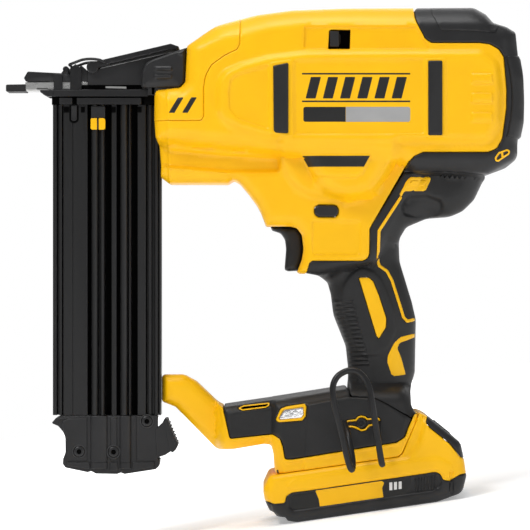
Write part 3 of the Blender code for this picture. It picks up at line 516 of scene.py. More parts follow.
def tube(path, radius, sides=14):
    """Round bar along a path, with domed ends."""
    path = [Vector(p) for p in path]
    tangents = [(path[min(i + 1, len(path) - 1)] - path[max(i - 1, 0)]).normalized()
        for i in range(len(path))]
    side = tangents[0].orthogonal().normalized()
    verts = []
    rings = []
    stations = [(0, 0.35, -0.75), (0, 0.75, -0.45)] + [(i, 1.0, 0.0) for i in range(len(path))]
    stations += [(len(path) - 1, 0.75, 0.45), (len(path) - 1, 0.35, 0.75)]
    for index, share, push in stations:
        tangent = tangents[index]
        side = (side - tangent * side.dot(tangent)).normalized()
        other = tangent.cross(side)
        rings.append(list(range(len(verts), len(verts) + sides)))
        for step in range(sides):
            angle = 2 * math.pi * step / sides
            offset = side * math.cos(angle) + other * math.sin(angle)
            verts.append(tuple(path[index] + tangent * push * radius + offset * radius * share))
    faces = [tuple(reversed(rings[0])), tuple(rings[-1])]
    for first, second in zip(rings, rings[1:]):
        for step in range(sides):
            ahead = (step + 1) % sides
            faces.append((first[step], first[ahead], second[ahead], second[step]))
    return verts, faces


def solid(name, shapes, material, replaced=(), body="tool_body", slot=None, bevel=0.35,
        sharp=SHARP_EDGE):
    """One piece out of closed shapes, with its edges eased."""
    verts = []
    faces = []
    for shape_verts, shape_faces in shapes:
        base = len(verts)
        verts += shape_verts
        faces += [tuple(base + i for i in face) for face in shape_faces]
    finish_piece(name, mesh_from(name, verts, faces), material, replaced, body, slot, bevel, sharp)


def screw_head(centre, axis, radius, height):
    """A domed screw head with a drive recess, standing on centre."""
    recess = radius * 0.5
    profile = [(0, 0), (0, radius), (height * 0.55, radius), (height * 0.9, radius * 0.8),
        (height, recess * 1.12), (height * 0.95, recess), (height * 0.3, recess * 0.9),
        (height * 0.2, 0)]
    return lathe(profile, centre, axis, 24)


# --------------------------------------------------------------- materials

MATERIALS = {}
SLOT_OF = {"grip_rubber": "black_rubber", "black_print": "black_plastic",
    "grey_print": "black_plastic", "white_print": "black_plastic", "painted_shade_black": "black_plastic",
    "lens_silver": "clear_lens"}


def material(name, colour, roughness, metallic=0.0, tint=0.08, grain=2600.0, grain_depth=0.05,
        rough_spread=0.1, stretch=(1, 1, 1), coat=0.0, wear=0.0, transmission=0.0, ior=1.5,
        mottle=60.0, specular=0.4):
    """Principled material whose colour, roughness and bump vary over the surface."""
    made = bpy.data.materials.new(name)
    made.use_nodes = True
    nodes = made.node_tree.nodes
    links = made.node_tree.links
    shader = nodes["Principled BSDF"]
    shader.inputs["Metallic"].default_value = metallic
    shader.inputs["Specular IOR Level"].default_value = specular
    shader.inputs["Coat Weight"].default_value = coat
    shader.inputs["Coat Roughness"].default_value = 0.25
    shader.inputs["Transmission Weight"].default_value = transmission
    shader.inputs["IOR"].default_value = ior
    place = nodes.new("ShaderNodeTexCoord")
    spread = nodes.new("ShaderNodeMapping")
    spread.inputs["Scale"].default_value = stretch
    links.new(place.outputs["Object"], spread.inputs["Vector"])

    def noise(scale, detail, rough=0.5):
        cloud = nodes.new("ShaderNodeTexNoise")
        cloud.inputs["Scale"].default_value = scale
        cloud.inputs["Detail"].default_value = detail
        cloud.inputs["Roughness"].default_value = rough
        links.new(spread.outputs["Vector"], cloud.inputs["Vector"])
        return cloud.outputs["Fac"]

    ramp = nodes.new("ShaderNodeValToRGB")
    ramp.color_ramp.elements[0].position = 0.3
    ramp.color_ramp.elements[1].position = 0.7
    for element, factor in zip(ramp.color_ramp.elements, (1 - tint, 1 + tint * 0.6)):
        element.color = (*(min(c * factor, 1.0) for c in colour), 1)
    links.new(noise(mottle, 4), ramp.inputs["Fac"])
    paint = ramp.outputs["Color"]
    if wear:
        edge = nodes.new("ShaderNodeNewGeometry")
        mask = nodes.new("ShaderNodeMapRange")
        mask.inputs["From Min"].default_value = 0.53
        mask.inputs["From Max"].default_value = 0.62
        mask.inputs["To Max"].default_value = wear
        links.new(edge.outputs["Pointiness"], mask.inputs["Value"])
        mix = nodes.new("ShaderNodeMix")
        mix.data_type = 'RGBA'
        links.new(mask.outputs["Result"], mix.inputs["Factor"])
        links.new(paint, mix.inputs["A"])
        mix.inputs["B"].default_value = (*(min(c * 1.6 + 0.05, 1.0) for c in colour), 1)
        paint = mix.outputs["Result"]
    links.new(paint, shader.inputs["Base Color"])
    levels = nodes.new("ShaderNodeMapRange")
    levels.inputs["To Min"].default_value = roughness - rough_spread
    levels.inputs["To Max"].default_value = roughness + rough_spread
    links.new(noise(mottle * 7, 5, 0.6), levels.inputs["Value"])
    links.new(levels.outputs["Result"], shader.inputs["Roughness"])
    bump = nodes.new("ShaderNodeBump")
    bump.inputs["Strength"].default_value = 0.35
    bump.inputs["Distance"].default_value = grain_depth * MM
    links.new(noise(grain, 3), bump.inputs["Height"])
    links.new(bump.outputs["Normal"], shader.inputs["Normal"])
    MATERIALS[name] = made


YELLOW = (1.0, 0.53, 0.003)
material("yellow_plastic", YELLOW, 0.4, tint=0.04, coat=0.08, specular=0.25)
material("black_plastic", (0.016, 0.016, 0.017), 0.42, tint=0.25, specular=0.36)
material("black_rubber", (0.014, 0.014, 0.0145), 0.5, tint=0.25, grain=1500, grain_depth=0.09,
    specular=0.36)
material("grip_rubber", (0.014, 0.014, 0.0145), 0.5, tint=0.25, grain=1100, grain_depth=0.12,
    specular=0.38)
material("black_metal", (0.016, 0.016, 0.017), 0.36, metallic=0.25, tint=0.3, grain=1800, wear=0.35,
    specular=0.4)
material("black_aluminium", (0.014, 0.014, 0.0145), 0.34, metallic=0.3, tint=0.2,
    stretch=(1, 1, 0.04), grain=1400, wear=0.2, specular=0.4)
material("steel", (0.62, 0.62, 0.61), 0.3, metallic=1.0, tint=0.1, stretch=(0.05, 1, 1), grain=1600)
material("grey_print", (0.36, 0.36, 0.36), 0.5, tint=0.06)
material("black_print", (0.01, 0.01, 0.01), 0.5, tint=0.2)
material("white_print", (0.75, 0.75, 0.75), 0.5, tint=0.05)
material("windings", (0.55, 0.25, 0.11), 0.35, metallic=0.9, tint=0.2, stretch=(1, 6, 1))
material("cell_wrap", (0.04, 0.18, 0.36), 0.3, tint=0.12, coat=0.5)
material("clear_lens", (0.85, 0.87, 0.9), 0.12, tint=0.05, rough_spread=0.05, transmission=0.9,
    ior=1.49, grain=500, grain_depth=0.3)
material("lens_silver", (0.75, 0.75, 0.76), 0.22, metallic=1.0, tint=0.12, grain=420,
    grain_depth=1.2)
material("circuit_green", (0.01, 0.12, 0.05), 0.4, tint=0.3, mottle=260)
# Painted shade: a near-black, barely reflective colour laid in gaps, slots, wells and holes where
# shade falls.
material("painted_shade_black", (0.0015, 0.0015, 0.0015), 0.8, tint=0.3, specular=0.05)


for part in frame["record"]["subparts"]:
    data = frame["nodes"][part["node"]].data
    data.materials.clear()
    data.materials.append(MATERIALS[part["material_slot"]])
frame["nodes"]["control_board"].data.materials[0] = MATERIALS["circuit_green"]


# ----------------------------------------------------------------- casings

SEAM = [(-14, 38.2, 0), (-14.2, 22.9, 1), (-15.8, 19.8, 2), (-22.9, 16.4, 3), (-30.2, 11.2, 6),
    (-33.4, 5.1, 6), (-34.4, -1.1, 4), (-34.4, -17.6, 2), (-36, -19.8, 1), (-62.5, -19.8, 0.3)]
SHELL = [*[(x + 0.15, z - 0.15, r) for x, z, r in reversed(SEAM)], (-4.5, 40.4, 40), (15.3, 43, 0),
    (46, 44.2, 30), (83.6, 44.3, 0), (83.9, 38, 4), (85, 34.5, 4), (89.6, 25.6, 3), (93, 23.4, 3),
    (120, 23.4, 5), (125.7, 22.6, 4), (130.6, 19.8, 4), (133.5, 15.4, 3), (135, -2.6, 12),
    (134.9, -13.3, 12), (132.6, -30, 4), (129.6, -35.6, 4), (124.7, -37.6, 4), (88.3, -37.6, 4),
    (83.3, -39.9, 3), (80.2, -43.2, 3), (60.2, -77.8, 3), (58.8, -80.4, 3), (58.6, -94.5, 3),
    (57.4, -97.3, 3), (54.6, -98.5, 2), (26.4, -98.5, 1), (24.9, -99.8, 1), (23.3, -105.2, 0.8),
    (22.3, -105.9, 0.6), *reversed(NECK_FRONT), (-21, -55, 2), (-54, -55, 1), (-58.9, -51.4, 0.8),
    (-58.7, -45.7, 1), (-59.8, -33.7, 1), (-61.6, -29, 1)]
SHROUD = [(-62.5, -2, 1), (-48, -1, 2), (-45, 2, 2), (-44, 22.5, 2), (-28, 34, 20), *SEAM]
STALL_SLOT = [(35.3, 20, 0.5), (47.5, 20, 0.5), (47.8, 30.9, 0.5), (36, 30.9, 1.2)]
LOCK_BUTTON = [(27.8, -67.2, 3.2), (41.2, -67.2, 3.2), (41.2, -73.8, 3.2), (27.8, -73.8, 3.2)]
REAR_BAND = [(84.2, 44.3, 3), (118, 44.5, 6), (124.5, 40.5, 3), (128.3, 35.6, 2), (136, 33, 2),
    (141, 30, 3), (142, 19, 1), (142, -32.5, 1), (142, -41, 6), (135.5, -46.3, 4), (125.5, -50, 4),
    (97, -48.3, 4), (77.6, -48.9, 0.5), (80.4, -43.5, 2), (83.4, -40.1, 2), (88.4, -37.8, 4),
    (124.7, -37.8, 4), (129.8, -35.8, 4), (132.8, -30.1, 4), (135.1, -13.3, 12), (135.2, -2.6, 12),
    (133.7, 15.5, 3), (130.8, 20, 4), (125.8, 22.8, 4), (120, 23.6, 5), (93.1, 23.6, 3),
    (89.8, 25.7, 3), (85.2, 34.6, 1), (84.1, 38, 4)]
TOP_COVER = [(93.3, 44.3, 0.3), (118, 44.4, 6), (124.4, 40.4, 3), (127.8, 35.6, 0.6),
    (131.4, 33.6, 1), (129.3, 29.3, 2), (111.7, 30.1, 8), (98.8, 30.3, 2), (96.3, 34.1, 2),
    (93.5, 40.2, 2)]
BUMPER = [(134.9, 15.6, 1), (136.6, 8.1, 8), (137.9, -2, 20), (138.1, -9.1, 20), (137.3, -18.5, 12),
    (135.6, -27.8, 3), (134.6, -29.1, 0.6), (139.2, -29.5, 1), (142.8, -30.1, 1), (144.2, -28.8, 1),
    (145.2, -22.8, 6), (145.6, -9.1, 20), (145.1, 2.4, 12), (144, 14.6, 1), (142.8, 16.4, 1),
    (136.3, 16.1, 1)]
GRIP = [(23.3, -105.2, 0.8), (24.9, -99.7, 1), (26.4, -98.4, 1), (54.8, -98.4, 2), (57.6, -97.3, 3),
    (58.8, -94.6, 3), (58.9, -80.4, 2), (60.3, -77.9, 3), (78, -49, 0.5), (97, -48.2, 4),
    (125.2, -50.2, 2), *WEB_BACK, *HANDLE_BACK, (83.8, -183.5, 1), (81.9, -186.4, 1),
    (69, -178.9, 4), (60.8, -174.9, 4), (47.6, -174.2, 2), (47.2, -158, 10), (46, -147, 12),
    (39, -129.5, 20), (37.6, -117.8, 8), (35.6, -110.8, 5), (30.8, -107, 6), (23.6, -105.6, 1)]
FOOT_SKIN = [(-23.6, -180.8, 1), (3.5, -176.8, 1), (47.2, -170, 2), (47.4, -174.6, 0.5),
    (60.8, -175.3, 4), (69, -179.3, 4), (81.7, -186.8, 1), (79.9, -191.5, 2), (78, -196.8, 3),
    (73.5, -199.8, 3), (15, -209.3, 2), (11.3, -209.3, 1.5), (10.2, -202.4, 4), (8.8, -198.2, 3),
    (4.6, -195.6, 3), (-19.6, -198.2, 1.5), (-21.5, -189.5, 2)]
FOOT_BASE = [(-23.9, -181.1, 1), (-21.9, -189.5, 2), (-20, -198.6, 1.5), (4.4, -196, 3),
    (8.4, -198.5, 3), (9.8, -202.6, 4), (11, -209.7, 1.5), (15, -209.8, 2), (73.7, -200.2, 3),
    (78.4, -197.1, 3), (80.3, -191.6, 2), (84, -183.9, 0.6), *stood((37.5, 51.5), (36.3, 47.4),
        (25.3, 30.0, 2), (23, 28.4, 2), (-46, 28.4)), (5.3, -215.8, 1), (4.6, -206.5, 1),
    (3.4, -202, 2), (-0.5, -201.6, 2), (-17.5, -204.6, 2), (-27.5, -205.3, 4), *ARM_END]
LINE_PATH = [(76.6, -62.4), (64.1, -81.6), (63.7, -99), (64.6, -101.4), (68.8, -104.2),
    (71.8, -109.8), (76.7, -125.3), (78.3, -130.4), (80.4, -132.7), (84.9, -131.7)]
LINE_PAD = [(81.7, -51.3, 2), (92.6, -51.1, 1), (93.6, -52.3, 1), (90.8, -58.6, 1),
    (89.4, -59.3, 1), (78.4, -59.4, 2), (76.4, -63, 0.4), (75.6, -61, 0.4), (79.7, -53, 2)]
PAD_DISH = [(82.6, -53.3, 1), (90.1, -53, 1), (90.8, -54, 1), (89, -56.6, 1), (81.1, -56.9, 1),
    (81.2, -55, 1)]


def band(path, width):
    """An open side-view path thickened into an outline of even width."""
    sides = ([], [])
    for index, spot in enumerate(path):
        here = Vector(spot)
        back = (here - Vector(path[index - 1])).normalized() if index else None
        ahead = (Vector(path[index + 1]) - here).normalized() if index + 1 < len(path) else None
        back, ahead = back or ahead, ahead or back
        normal = Vector((-back.y, back.x)) + Vector((-ahead.y, ahead.x))
        normal *= width / 2 / max(normal.dot(Vector((-back.y, back.x))), 0.5)
        sides[0].append((*(here + normal), width * 0.8))
        sides[1].append((*(here - normal), width * 0.8))
    return sides[0] + sides[1][::-1]


UPPER_INSERT = [(53, -108, 0.6), (58.5, -108, 1.5), (61, -110.2, 2), (64.2, -118, 3),
    (68.4, -131, 2), (68.2, -136, 3), (64.2, -142.4, 0.4), (63, -141, 0.4)]
LOWER_INSERT = [(84.9, -139.6, 0.3), (76.7, -141.4, 3), (73.1, -144.5, 3), (69.3, -151.7, 3),
    (68.9, -155.7, 2), (71.3, -162.8, 1), (72.9, -163.8, 1), (79.6, -162.9, 0.6), (79.1, -160.5, 1),
    (76.5, -151.9, 8), (74.8, -148.1, 2), (76, -145, 2), (84.9, -141.9, 0.3)]

FRONT_PAD = [(4.5, 10.2, 0.8), (13, 12, 0.8), (13, -27.5, 1), (4.8, -27, 2)]
REAR_PAD = [(91, 13.1, 0.8), (98.9, 13.1, 0.8), (98.9, -28.5, 0.8), (91, -28.5, 0.8)]
FOOT_WINDOW = [(-15.6, -181.4, 0.5), (-12, -179.7, 1), (2.8, -178.1, 0.5), (2.2, -180, 0.5),
    (0.4, -181, 0.5), (-12.5, -182.6, 0.5)]
LENS = [(5.9, -187.7, 2), (8.7, -181.3, 2.5), (12, -180, 1.5), (22.3, -178.4, 1), (23.1, -180.2, 1),
    (22.7, -185.4, 1.5), (20.8, -187.8, 1), (7.6, -188.8, 1)]
LENS_CLEAR = [(7.6, -186.5, 1.5), (10.3, -181.9, 2), (21.4, -180.2, 0.8), (21.7, -184.8, 1),
    (20, -186.4, 1), (8.4, -187.5, 0.8)]
HOOK_SLOT = [(44.2, -189.6, 1.3), (46.2, -187.6, 1.3), (50.6, -187.2, 1), (51.8, -185.6, 1),
    (53.8, -185, 2), (56.1, -185.6, 1), (57.3, -186.6, 1), (61, -186.4, 1), (63.6, -186.2, 1.3),
    (64.6, -188, 1.3), (61.4, -190.5, 1.3), (58.2, -191, 1), (56.5, -193.2, 1), (53.7, -193.8, 2),
    (51.2, -192.4, 1), (48.8, -191.6, 1), (45.4, -191.6, 1.3)]


def grown(corners, distance):
    """A corner list with every edge moved outwards."""
    count = len(corners)
    area = sum(corners[i - 1][0] * corners[i][1] - corners[i][0] * corners[i - 1][1]
        for i in range(count))
    turn = -1.0 if area > 0 else 1.0
    moved_corners = []
    for index, corner in enumerate(corners):
        here = Vector(corner[:2])
        into = (here - Vector(corners[index - 1][:2])).normalized()
        ahead = (Vector(corners[(index + 1) % count][:2]) - here).normalized()
        first = Vector((-into.y, into.x)) * turn
        second = Vector((-ahead.y, ahead.x)) * turn
        middle = first + second
        shift = middle * (distance / max(middle.dot(first), 0.4))
        radius = corner[2] if len(corner) > 2 else 1.5
        moved_corners.append((*(here + shift), radius))
    return moved_corners


# Painted shade: a near-black strip sunk behind each seam, standing in for the shade in the gap.
def seam_shade_strip(number, path, width=4.5, depth=2.2):
    both_sides(f"seam_backing_{number}", band(path, width), "painted_shade_black", lift=-depth, roll=0.0,
        wall=1.2, spacing=2.5)


PANEL_GAP = 0.15
TRIGGER_ROOM = [(1, -109), (1, -77.5), (22, -75.5), (31.5, -82), (31.5, -109)]


def yellow_shells():
    relief("housing_shell_left", SHELL, "yellow_plastic", ["housing_left"],
        holes=[grown(LOCK_BUTTON, 0.2), STALL_SLOT], clear=(TRIGGER_ROOM, 9))
    relief("housing_shell_right", SHELL, "yellow_plastic", ["housing_right"],
        holes=[grown(LOCK_BUTTON, 0.2)], side=1, clear=(TRIGGER_ROOM, 9))
    relief("nose_shroud", SHROUD, "yellow_plastic", ["front_shroud"], joined=True)


def dark_covers():
    relief("rear_band", REAR_BAND, "black_plastic", ["rear_cap"], joined=True, lift=0.3, roll=0.9)
    relief("top_lid", TOP_COVER, "black_plastic", ["top_cover"], joined=True, lift=0.9, roll=0.7)
    relief("tail_bumper", BUMPER, "black_rubber", ["rear_bumper"], joined=True, lift=1.5, roll=1.0)


def grip_and_foot():
    both_sides("soft_grip", GRIP, "grip_rubber", ["grip"], holes=[grown(UPPER_INSERT, PANEL_GAP)],
        roll=0.9, clear=(TRIGGER_ROOM, 9))
    both_sides("foot_panel", FOOT_SKIN, "black_rubber", ["grip"], holes=[grown(LENS, PANEL_GAP),
            grown(HOOK_SLOT, PANEL_GAP), FOOT_WINDOW], roll=0.7)
    both_sides("foot_base", FOOT_BASE, "yellow_plastic", ["housing"])


def foot_sole():
    sole = stood((-45.5, 28.6, 0.5), (-45.5, 30.6, 0.5), (21.6, 30.6, 1), (24, 32, 1),
        (35.4, 51.6, 0.5), (37, 50.6, 0.5), (25, 30, 1), (22.4, 28.6, 1))
    solid("foot_sole", [prism(sole, -30.5, 30.5)], "black_plastic", bevel=0.3)


def seam_shade_strips():
    seam_shade_strip(1, [(80.4, -43.4), (83.4, -40), (88.4, -37.7), (124.7, -37.7), (129.7, -35.7),
            (132.7, -30), (135, -13.3), (135.1, -2.6), (133.6, 15.5), (130.7, 20), (120, 23.5),
            (93, 23.5), (89.7, 25.7), (85.1, 34.6)])
    seam_shade_strip(2, [(25.8, -98.4), (54.7, -98.4), (58.7, -94.6), (58.9, -80.4), (78.5, -48),
            (97, -48.2), (122, -49.6)])
    seam_shade_strip(3, [(-21.6, -182), (-19.8, -198.2), (4.5, -195.8), (8.6, -198.3), (10.1, -202.6),
            (11.3, -209.3), (73.6, -200), (78.2, -197), (82, -186)])
    seam_shade_strip(4, [(49, -174.4), (60.8, -175.1), (69, -179.1), (80.6, -185.9)])


def handle_trim():
    both_sides("handle_strip", band(LINE_PATH, 1.7), "yellow_plastic", lift=0.75, roll=0.5,
        wall=2.2, spacing=1.0)
    both_sides("handle_strip_pad", LINE_PAD, "yellow_plastic", lift=0.3, roll=0.5, wall=1.4,
        spacing=1.5)
    both_sides("strip_pad_dish", PAD_DISH, "yellow_plastic", lift=0.7, roll=0.4, wall=0.8,
        spacing=1.2)
    both_sides("handle_insert", UPPER_INSERT, "yellow_plastic", lift=-0.1, roll=0.4, wall=2.0,
        spacing=1.5)
    both_sides("handle_insert_low", LOWER_INSERT, "yellow_plastic", lift=0.3, roll=0.5, wall=1.4,
        spacing=1.5)


def side_bars():
    both_sides("side_bar_front", FRONT_PAD, "black_rubber", ["front_pad"], lift=1.4, roll=0.9,
        wall=3.0, spacing=1.8)
    both_sides("side_bar_rear", REAR_PAD, "black_rubber", ["rear_pad"], lift=1.4, roll=0.9,
        wall=3.0, spacing=1.8)


def work_light():
    both_sides("lens_bezel", LENS, "yellow_plastic", holes=[grown(LENS_CLEAR, 0.1)], lift=0.3,
        roll=0.5, wall=2.0, spacing=1.2)
    both_sides("work_light", LENS_CLEAR, "lens_silver", ["lens"], lift=-0.2, roll=0.4, wall=2.0,
        spacing=1.0)


def hook_slot():
    both_sides("hook_slot_rim", HOOK_SLOT, "yellow_plastic", holes=[grown(HOOK_SLOT, -0.9)],
        lift=0.25, roll=0.4, wall=1.5, spacing=1.2)
    both_sides("hook_slot_floor", grown(HOOK_SLOT, -0.95), "black_plastic", lift=-0.9, roll=0.2,
        wall=1.0, spacing=1.5)


def mode_window():
    both_sides("foot_window_rim", grown(FOOT_WINDOW, -0.05), "yellow_plastic",
        holes=[grown(FOOT_WINDOW, -0.7)], lift=0.6, roll=0.2, wall=1.8, spacing=0.8)
    # Painted shade: the window's floor is near-black, standing in for the shade in the recess.
    both_sides("foot_window_floor", grown(FOOT_WINDOW, -0.7), "painted_shade_black", lift=-1.6, roll=0.1,
        wall=1.0, spacing=1.5)
    solid("mode_key", [prism(grown(FOOT_WINDOW, -0.9), -20.2, 20.2)], "black_plastic",
        ["mode_button"], body="mode_button", bevel=0.3)


def lock_bar():
    solid("lock_bar", [prism(LOCK_BUTTON, -25.2, 25.2)], "black_plastic", ["lock_off_button"],
        body="lock_off", bevel=0.9)


for build in (yellow_shells, dark_covers, grip_and_foot, foot_sole, seam_shade_strips, handle_trim,
        side_bars, work_light, hook_slot, mode_window, lock_bar):
    build()


# -------------------------------------------------------------------- nose

def nose_plates():
    plates = []
    front = [(-119.7, -5.2), (-119.7, 7.4), (-114.8, 7.4), (-114.8, -1.4), (-110.4, -1.4),
        (-110.4, 10.6), (-107.4, 13), (-104, 10.2), (-104, -1.4), (-66, -1.4), (-66, -5.2)]
    front = [(x, z, 0.3) for x, z in front]
    for side in (-1, 1):
        plates.append(prism(front, side * 9.5, side * 12))
        plates.append(prism([(-64, -5, 0), (-64, 8, 0), (116, 8, 0), (116, -5, 0), (62, -12, 0),
                (59, -27, 0), (48, -44, 0), (22, -44, 0), (11, -27, 0), (8, -12, 0)], side * 19,
                side * 22))
        plates.append(prism([(-127.4, -1.8, 0.3), (-127.4, -3, 0.8), (-123.2, -5.4, 0.8),
                (-118.9, -5.4, 0.3), (-118.9, -1.8, 0.3)], side * 7, side * 12))
        plates.append(prism([(-119.7, -1.8, 0.4), (-66, -1.8, 0.4), (-66, -5.4, 0.4),
                (-119.7, -5.4, 0.4)], side * 12.05, side * 13))
        plates.append(prism([(-116.5, -6.2, 0.4), (-109.2, -6.2, 0.4), (-109.2, -9.9, 0.8),
                (-116.5, -9.9, 0.6)], side * 8, side * 12.4))
        plates.append(prism([(-106.6, -6.2, 0.4), (-70, -6.2, 0.4), (-70, -9.9, 0.6),
                (-106.6, -9.9, 0.8)], side * 8, side * 12.4))
        plates.append(prism([(-104.2, 12.4, 0.8), (-100.2, 8.9, 0.8), (-100.2, 2.9, 0.2),
                (-115.2, 2.9, 0.2), (-115.2, 7, 0.2), (-110, 7, 0.2)], side * 8.8, side * 9.6))
    plates.append(box(-66, -62, -22, 22, -5, 8))
    solid("nose_plates", plates, "black_metal", ["nose_frame"])


# Painted shade: near-black blocks in the gaps between the nose plates, standing in for the shade
# there.
def nose_gaps():
    gaps = []
    for side in (-1, 1):
        gaps.append(prism([(-121, -5.3, 0.2), (-62.5, -5.3, 0.2), (-62.5, -9.9, 0.2),
                (-121, -9.9, 0.2)], side * 1, side * 7.9))
        gaps.append(prism([(-103.9, 1.2, 0.2), (-62.6, 1.2, 0.2), (-62.6, -1.5, 0.2),
                (-103.9, -1.5, 0.2)], side * 8.9, side * 10))
        gaps.append(prism([(-68.4, -1.5, 0.2), (-63, -1.5, 0.2), (-63, -9.9, 0.2),
                (-68.4, -9.9, 0.2)], side * 8, side * 11.5))
    solid("nose_gaps", gaps, "painted_shade_black", slot="black_metal", bevel=0)


def nose_gate():
    door = [(-136.8, 5.2, 0.8), (-134.6, 8.9, 1), (-115.6, 7.9, 0.3), (-113.2, 11.4, 1.5),
        (-111.3, 10, 1.5), (-112, 3.6, 0.3), (-135.6, 3.1, 0.8)]
    shapes = [prism(door, side * 8.6, side * 9.4) for side in (-1, 1)]
    shapes += [prism(door[:-2] + [(-112, 5, 0.3), (-135.6, 5, 0.8)], side * 4.3, side * 8.7)
        for side in (-1, 1)]
    shapes.append(prism([(-136.2, 7.4, 0.5), (-134.6, 8.7, 0.8), (-115, 7.8, 0.5),
            (-115, 7.0, 0.3)], -4.4, 4.4))
    shapes.append(lathe([(-9.6, 0), (-9.6, 1.7), (9.6, 1.7), (9.6, 0)], (-113, 0, 10.2), (0, 1, 0)))
    solid("nose_gate", shapes, "black_metal", ["nose_door"], body="nose_door", bevel=0.3)


def trip_bar():
    bar = [box(-136, -123.2, -8.5, 8.5, -2, -0.25)]
    for side in (-1, 1):
        bar.append(box(-136, -80, min(side * 5.8, side * 8.5), max(side * 5.8, side * 8.5), -1.1,
                2.9))
        bar.append(prism([(-136, -1.3, 0.2), (-129.4, -1.3, 0.2), (-129.4, 1.9, 0.2),
                (-131, 2.8, 0.3), (-136, 2.8, 0.2)], side * 8.4, side * 8.9))
    solid("trip_bar", bar, "steel", ["contact_trip"], body="contact_trip", bevel=0.25)


def guide_edge():
    sliver = [prism([(-90.4, -0.6, 0.3), (-78.6, -0.9, 0.3), (-78.6, 0.2, 0.3), (-90.4, 0.4, 0.3)],
            side * 9.9, side * 10.4) for side in (-1, 1)]
    solid("guide_edge", sliver, "steel", bevel=0)


def nose_tip():
    tip = [(-147, -2.5, 0.8), (-135.6, -2.5, 0.5), (-135.6, 1.7, 0.5), (-147, 1.5, 0.8)]
    shapes = [prism(tip, side * 1.7, side * 9) for side in (-1, 1)]
    shapes.append(prism([(-146.6, -2.5, 0.5), (-136.5, -2.5, 0.3), (-136.5, -0.5, 0.3),
            (-146.6, -0.5, 0.5)], -1.8, 1.8))
    solid("nose_tip", shapes, "black_rubber", ["trip_tip"], body="contact_trip")


for build in (nose_plates, nose_gaps, nose_gate, trip_bar, guide_edge, nose_tip):
    build()


WING = [(-70, -1.4, 2), (-69.6, 7.6, 5), (-67.4, 13, 5), (-63, 15.2, 6), (-48.8, 20.2, 4),
    (-43, 22, 0.5), (-44.4, 19.6, 0.6), (-45, 1.9, 3.5), (-47.6, -1.4, 3)]
WING_DISH = [(-68.4, -0.2, 2), (-68.2, 7.4, 4), (-66.2, 11.8, 4), (-62.4, 13.7, 5), (-50, 18, 3),
    (-47, 17.5, 2), (-47, 2.6, 3), (-49, -0.2, 3)]


def nose_wedge():
    roof = [(-101, 5.6, 0.3), (-101, 8.3, 1.5), (-96, 9.8, 2), (-54, 19.4, 0.5), (-54, 16.4, 0.3)]
    cheek = [(-100.6, 1.1, 0.3), (-100.6, 8.2, 2), (-96, 9.7, 2), (-54, 19.3, 0.5), (-54, 1.1, 0.3)]
    shapes = [prism(roof, -9.1, 9.1)]
    for side in (-1, 1):
        shapes.append(prism(cheek, side * 9, side * 11.5))
        shapes.append(lathe([(0, 0), (0, 3.5), (0.9, 3.5), (1.3, 3.1), (1.3, 0)],
                (-97.5, side * 11.3, 11), (0, side, 0)))
    solid("nose_wedge", shapes, "black_plastic", ["nose_housing"], bevel=0.5)


def nose_wings():
    ridges = [Detail([(-62, z - 2.2), (-62, z), (-52.4, z), (-52.4, z - 2.2)], 0.9, 0.9, 1.1)
        for z in (10.6, 6.2)]
    for side, word in ((-1, "left"), (1, "right")):
        relief(f"nose_wing_{word}", WING, "black_plastic", ["nose_housing"],
            forms=[Form(WING, 25, 3.5, 4, 1.7, 2)], side=side,
            details=[Detail(WING_DISH, -1.3, 2.2, 3), *ridges], middle=14.9, spacing=1.8)


def latch_bar():
    strip = [(-97, 11, 1), (-54.2, 20.7, 1), (-50, 21.3, 0.8), (-48.2, 22.5, 0.6),
        (-53.4, 24.3, 1.5), (-96.6, 14.1, 1)]
    slot_cut = [(-92, 12.5, 0.3), (-55, 21.3, 0.3), (-55, 20.9, 0.3), (-92, 12, 0.3)]
    lever = [prism(strip, -14.6, 14.6)]
    for side in (-1, 1):
        lever.append(lathe([(0, 0), (0, 3.5), (2.2, 3.5), (2.7, 3.0), (2.9, 0)],
                (-97.5, side * 11.9, 11), (0, side, 0)))
        lever.append(prism([(-98, 10, 0.5), (-88, 12.2, 0.5), (-88, 15.4, 0.5), (-98, 13.4, 1)],
                side * 11.9, side * 14.5))
        lever.append(prism(slot_cut, side * 14.5, side * 14.75))
    solid("latch_bar", lever, "black_metal", ["latch_lever"], body="latch_lever", bevel=0.45)


def hinge_pin():
    rivet = [(-14.3, 0), (-14.3, 1.6), (14.3, 1.6), (14.3, 0)]
    solid("hinge_pin", [lathe(rivet, (-97.5, 0, 11), (0, 1, 0), 20)], "steel", ["lever_pin"],
        bevel=0)


def wire_bail():
    half_bail = [(-90.6, 15.7, 13.6), (-93.5, 15.7, 15), (-98, 15.2, 15.6), (-103, 15, 15.2),
        (-107.6, 14.6, 13.6), (-110, 13.4, 12.8), (-110.8, 10.5, 12.6), (-110.8, 4, 12.6)]
    path = half_bail + [(x, -y, z) for x, y, z in reversed(half_bail)]
    solid("wire_bail", [tube(curve_through(path), 0.8)], "black_metal", ["bail_wire"], body="bail",
        slot="steel", bevel=0)


def depth_dial():
    knurl = []
    for tooth in range(26):
        for share, reach in ((0.0, 6.0), (0.3, 6.0), (0.5, 5.5), (0.8, 5.5)):
            angle = 2 * math.pi * (tooth + share) / 26
            knurl.append((13.5 + reach * math.cos(angle), 7.4 + reach * math.sin(angle), 0))
    solid("depth_dial", [prism(knurl, -79, -73, 'X'), box(-79.1, -72.9, 11.3, 15.7, 9.8, 13.6)],
        "black_plastic", ["depth_wheel"], body="depth_wheel", bevel=0.25)


for build in (nose_wedge, nose_wings, latch_bar, hinge_pin, wire_bail, depth_dial):
    build()


# ---------------------------------------------------------------- magazine

MAGAZINE_TOP, MAGAZINE_END = -10.0, -186.0


def round_bar(x0, x1, base, top, steps=9):
    """Plan points over a round bar from x0 to x1."""
    middle, half = (x0 + x1) / 2, (x1 - x0) / 2
    return [(middle - half * math.cos(math.pi * i / steps),
            base + (top - base) * math.sin(math.pi * i / steps) ** 0.8, 0)
        for i in range(steps + 1)]


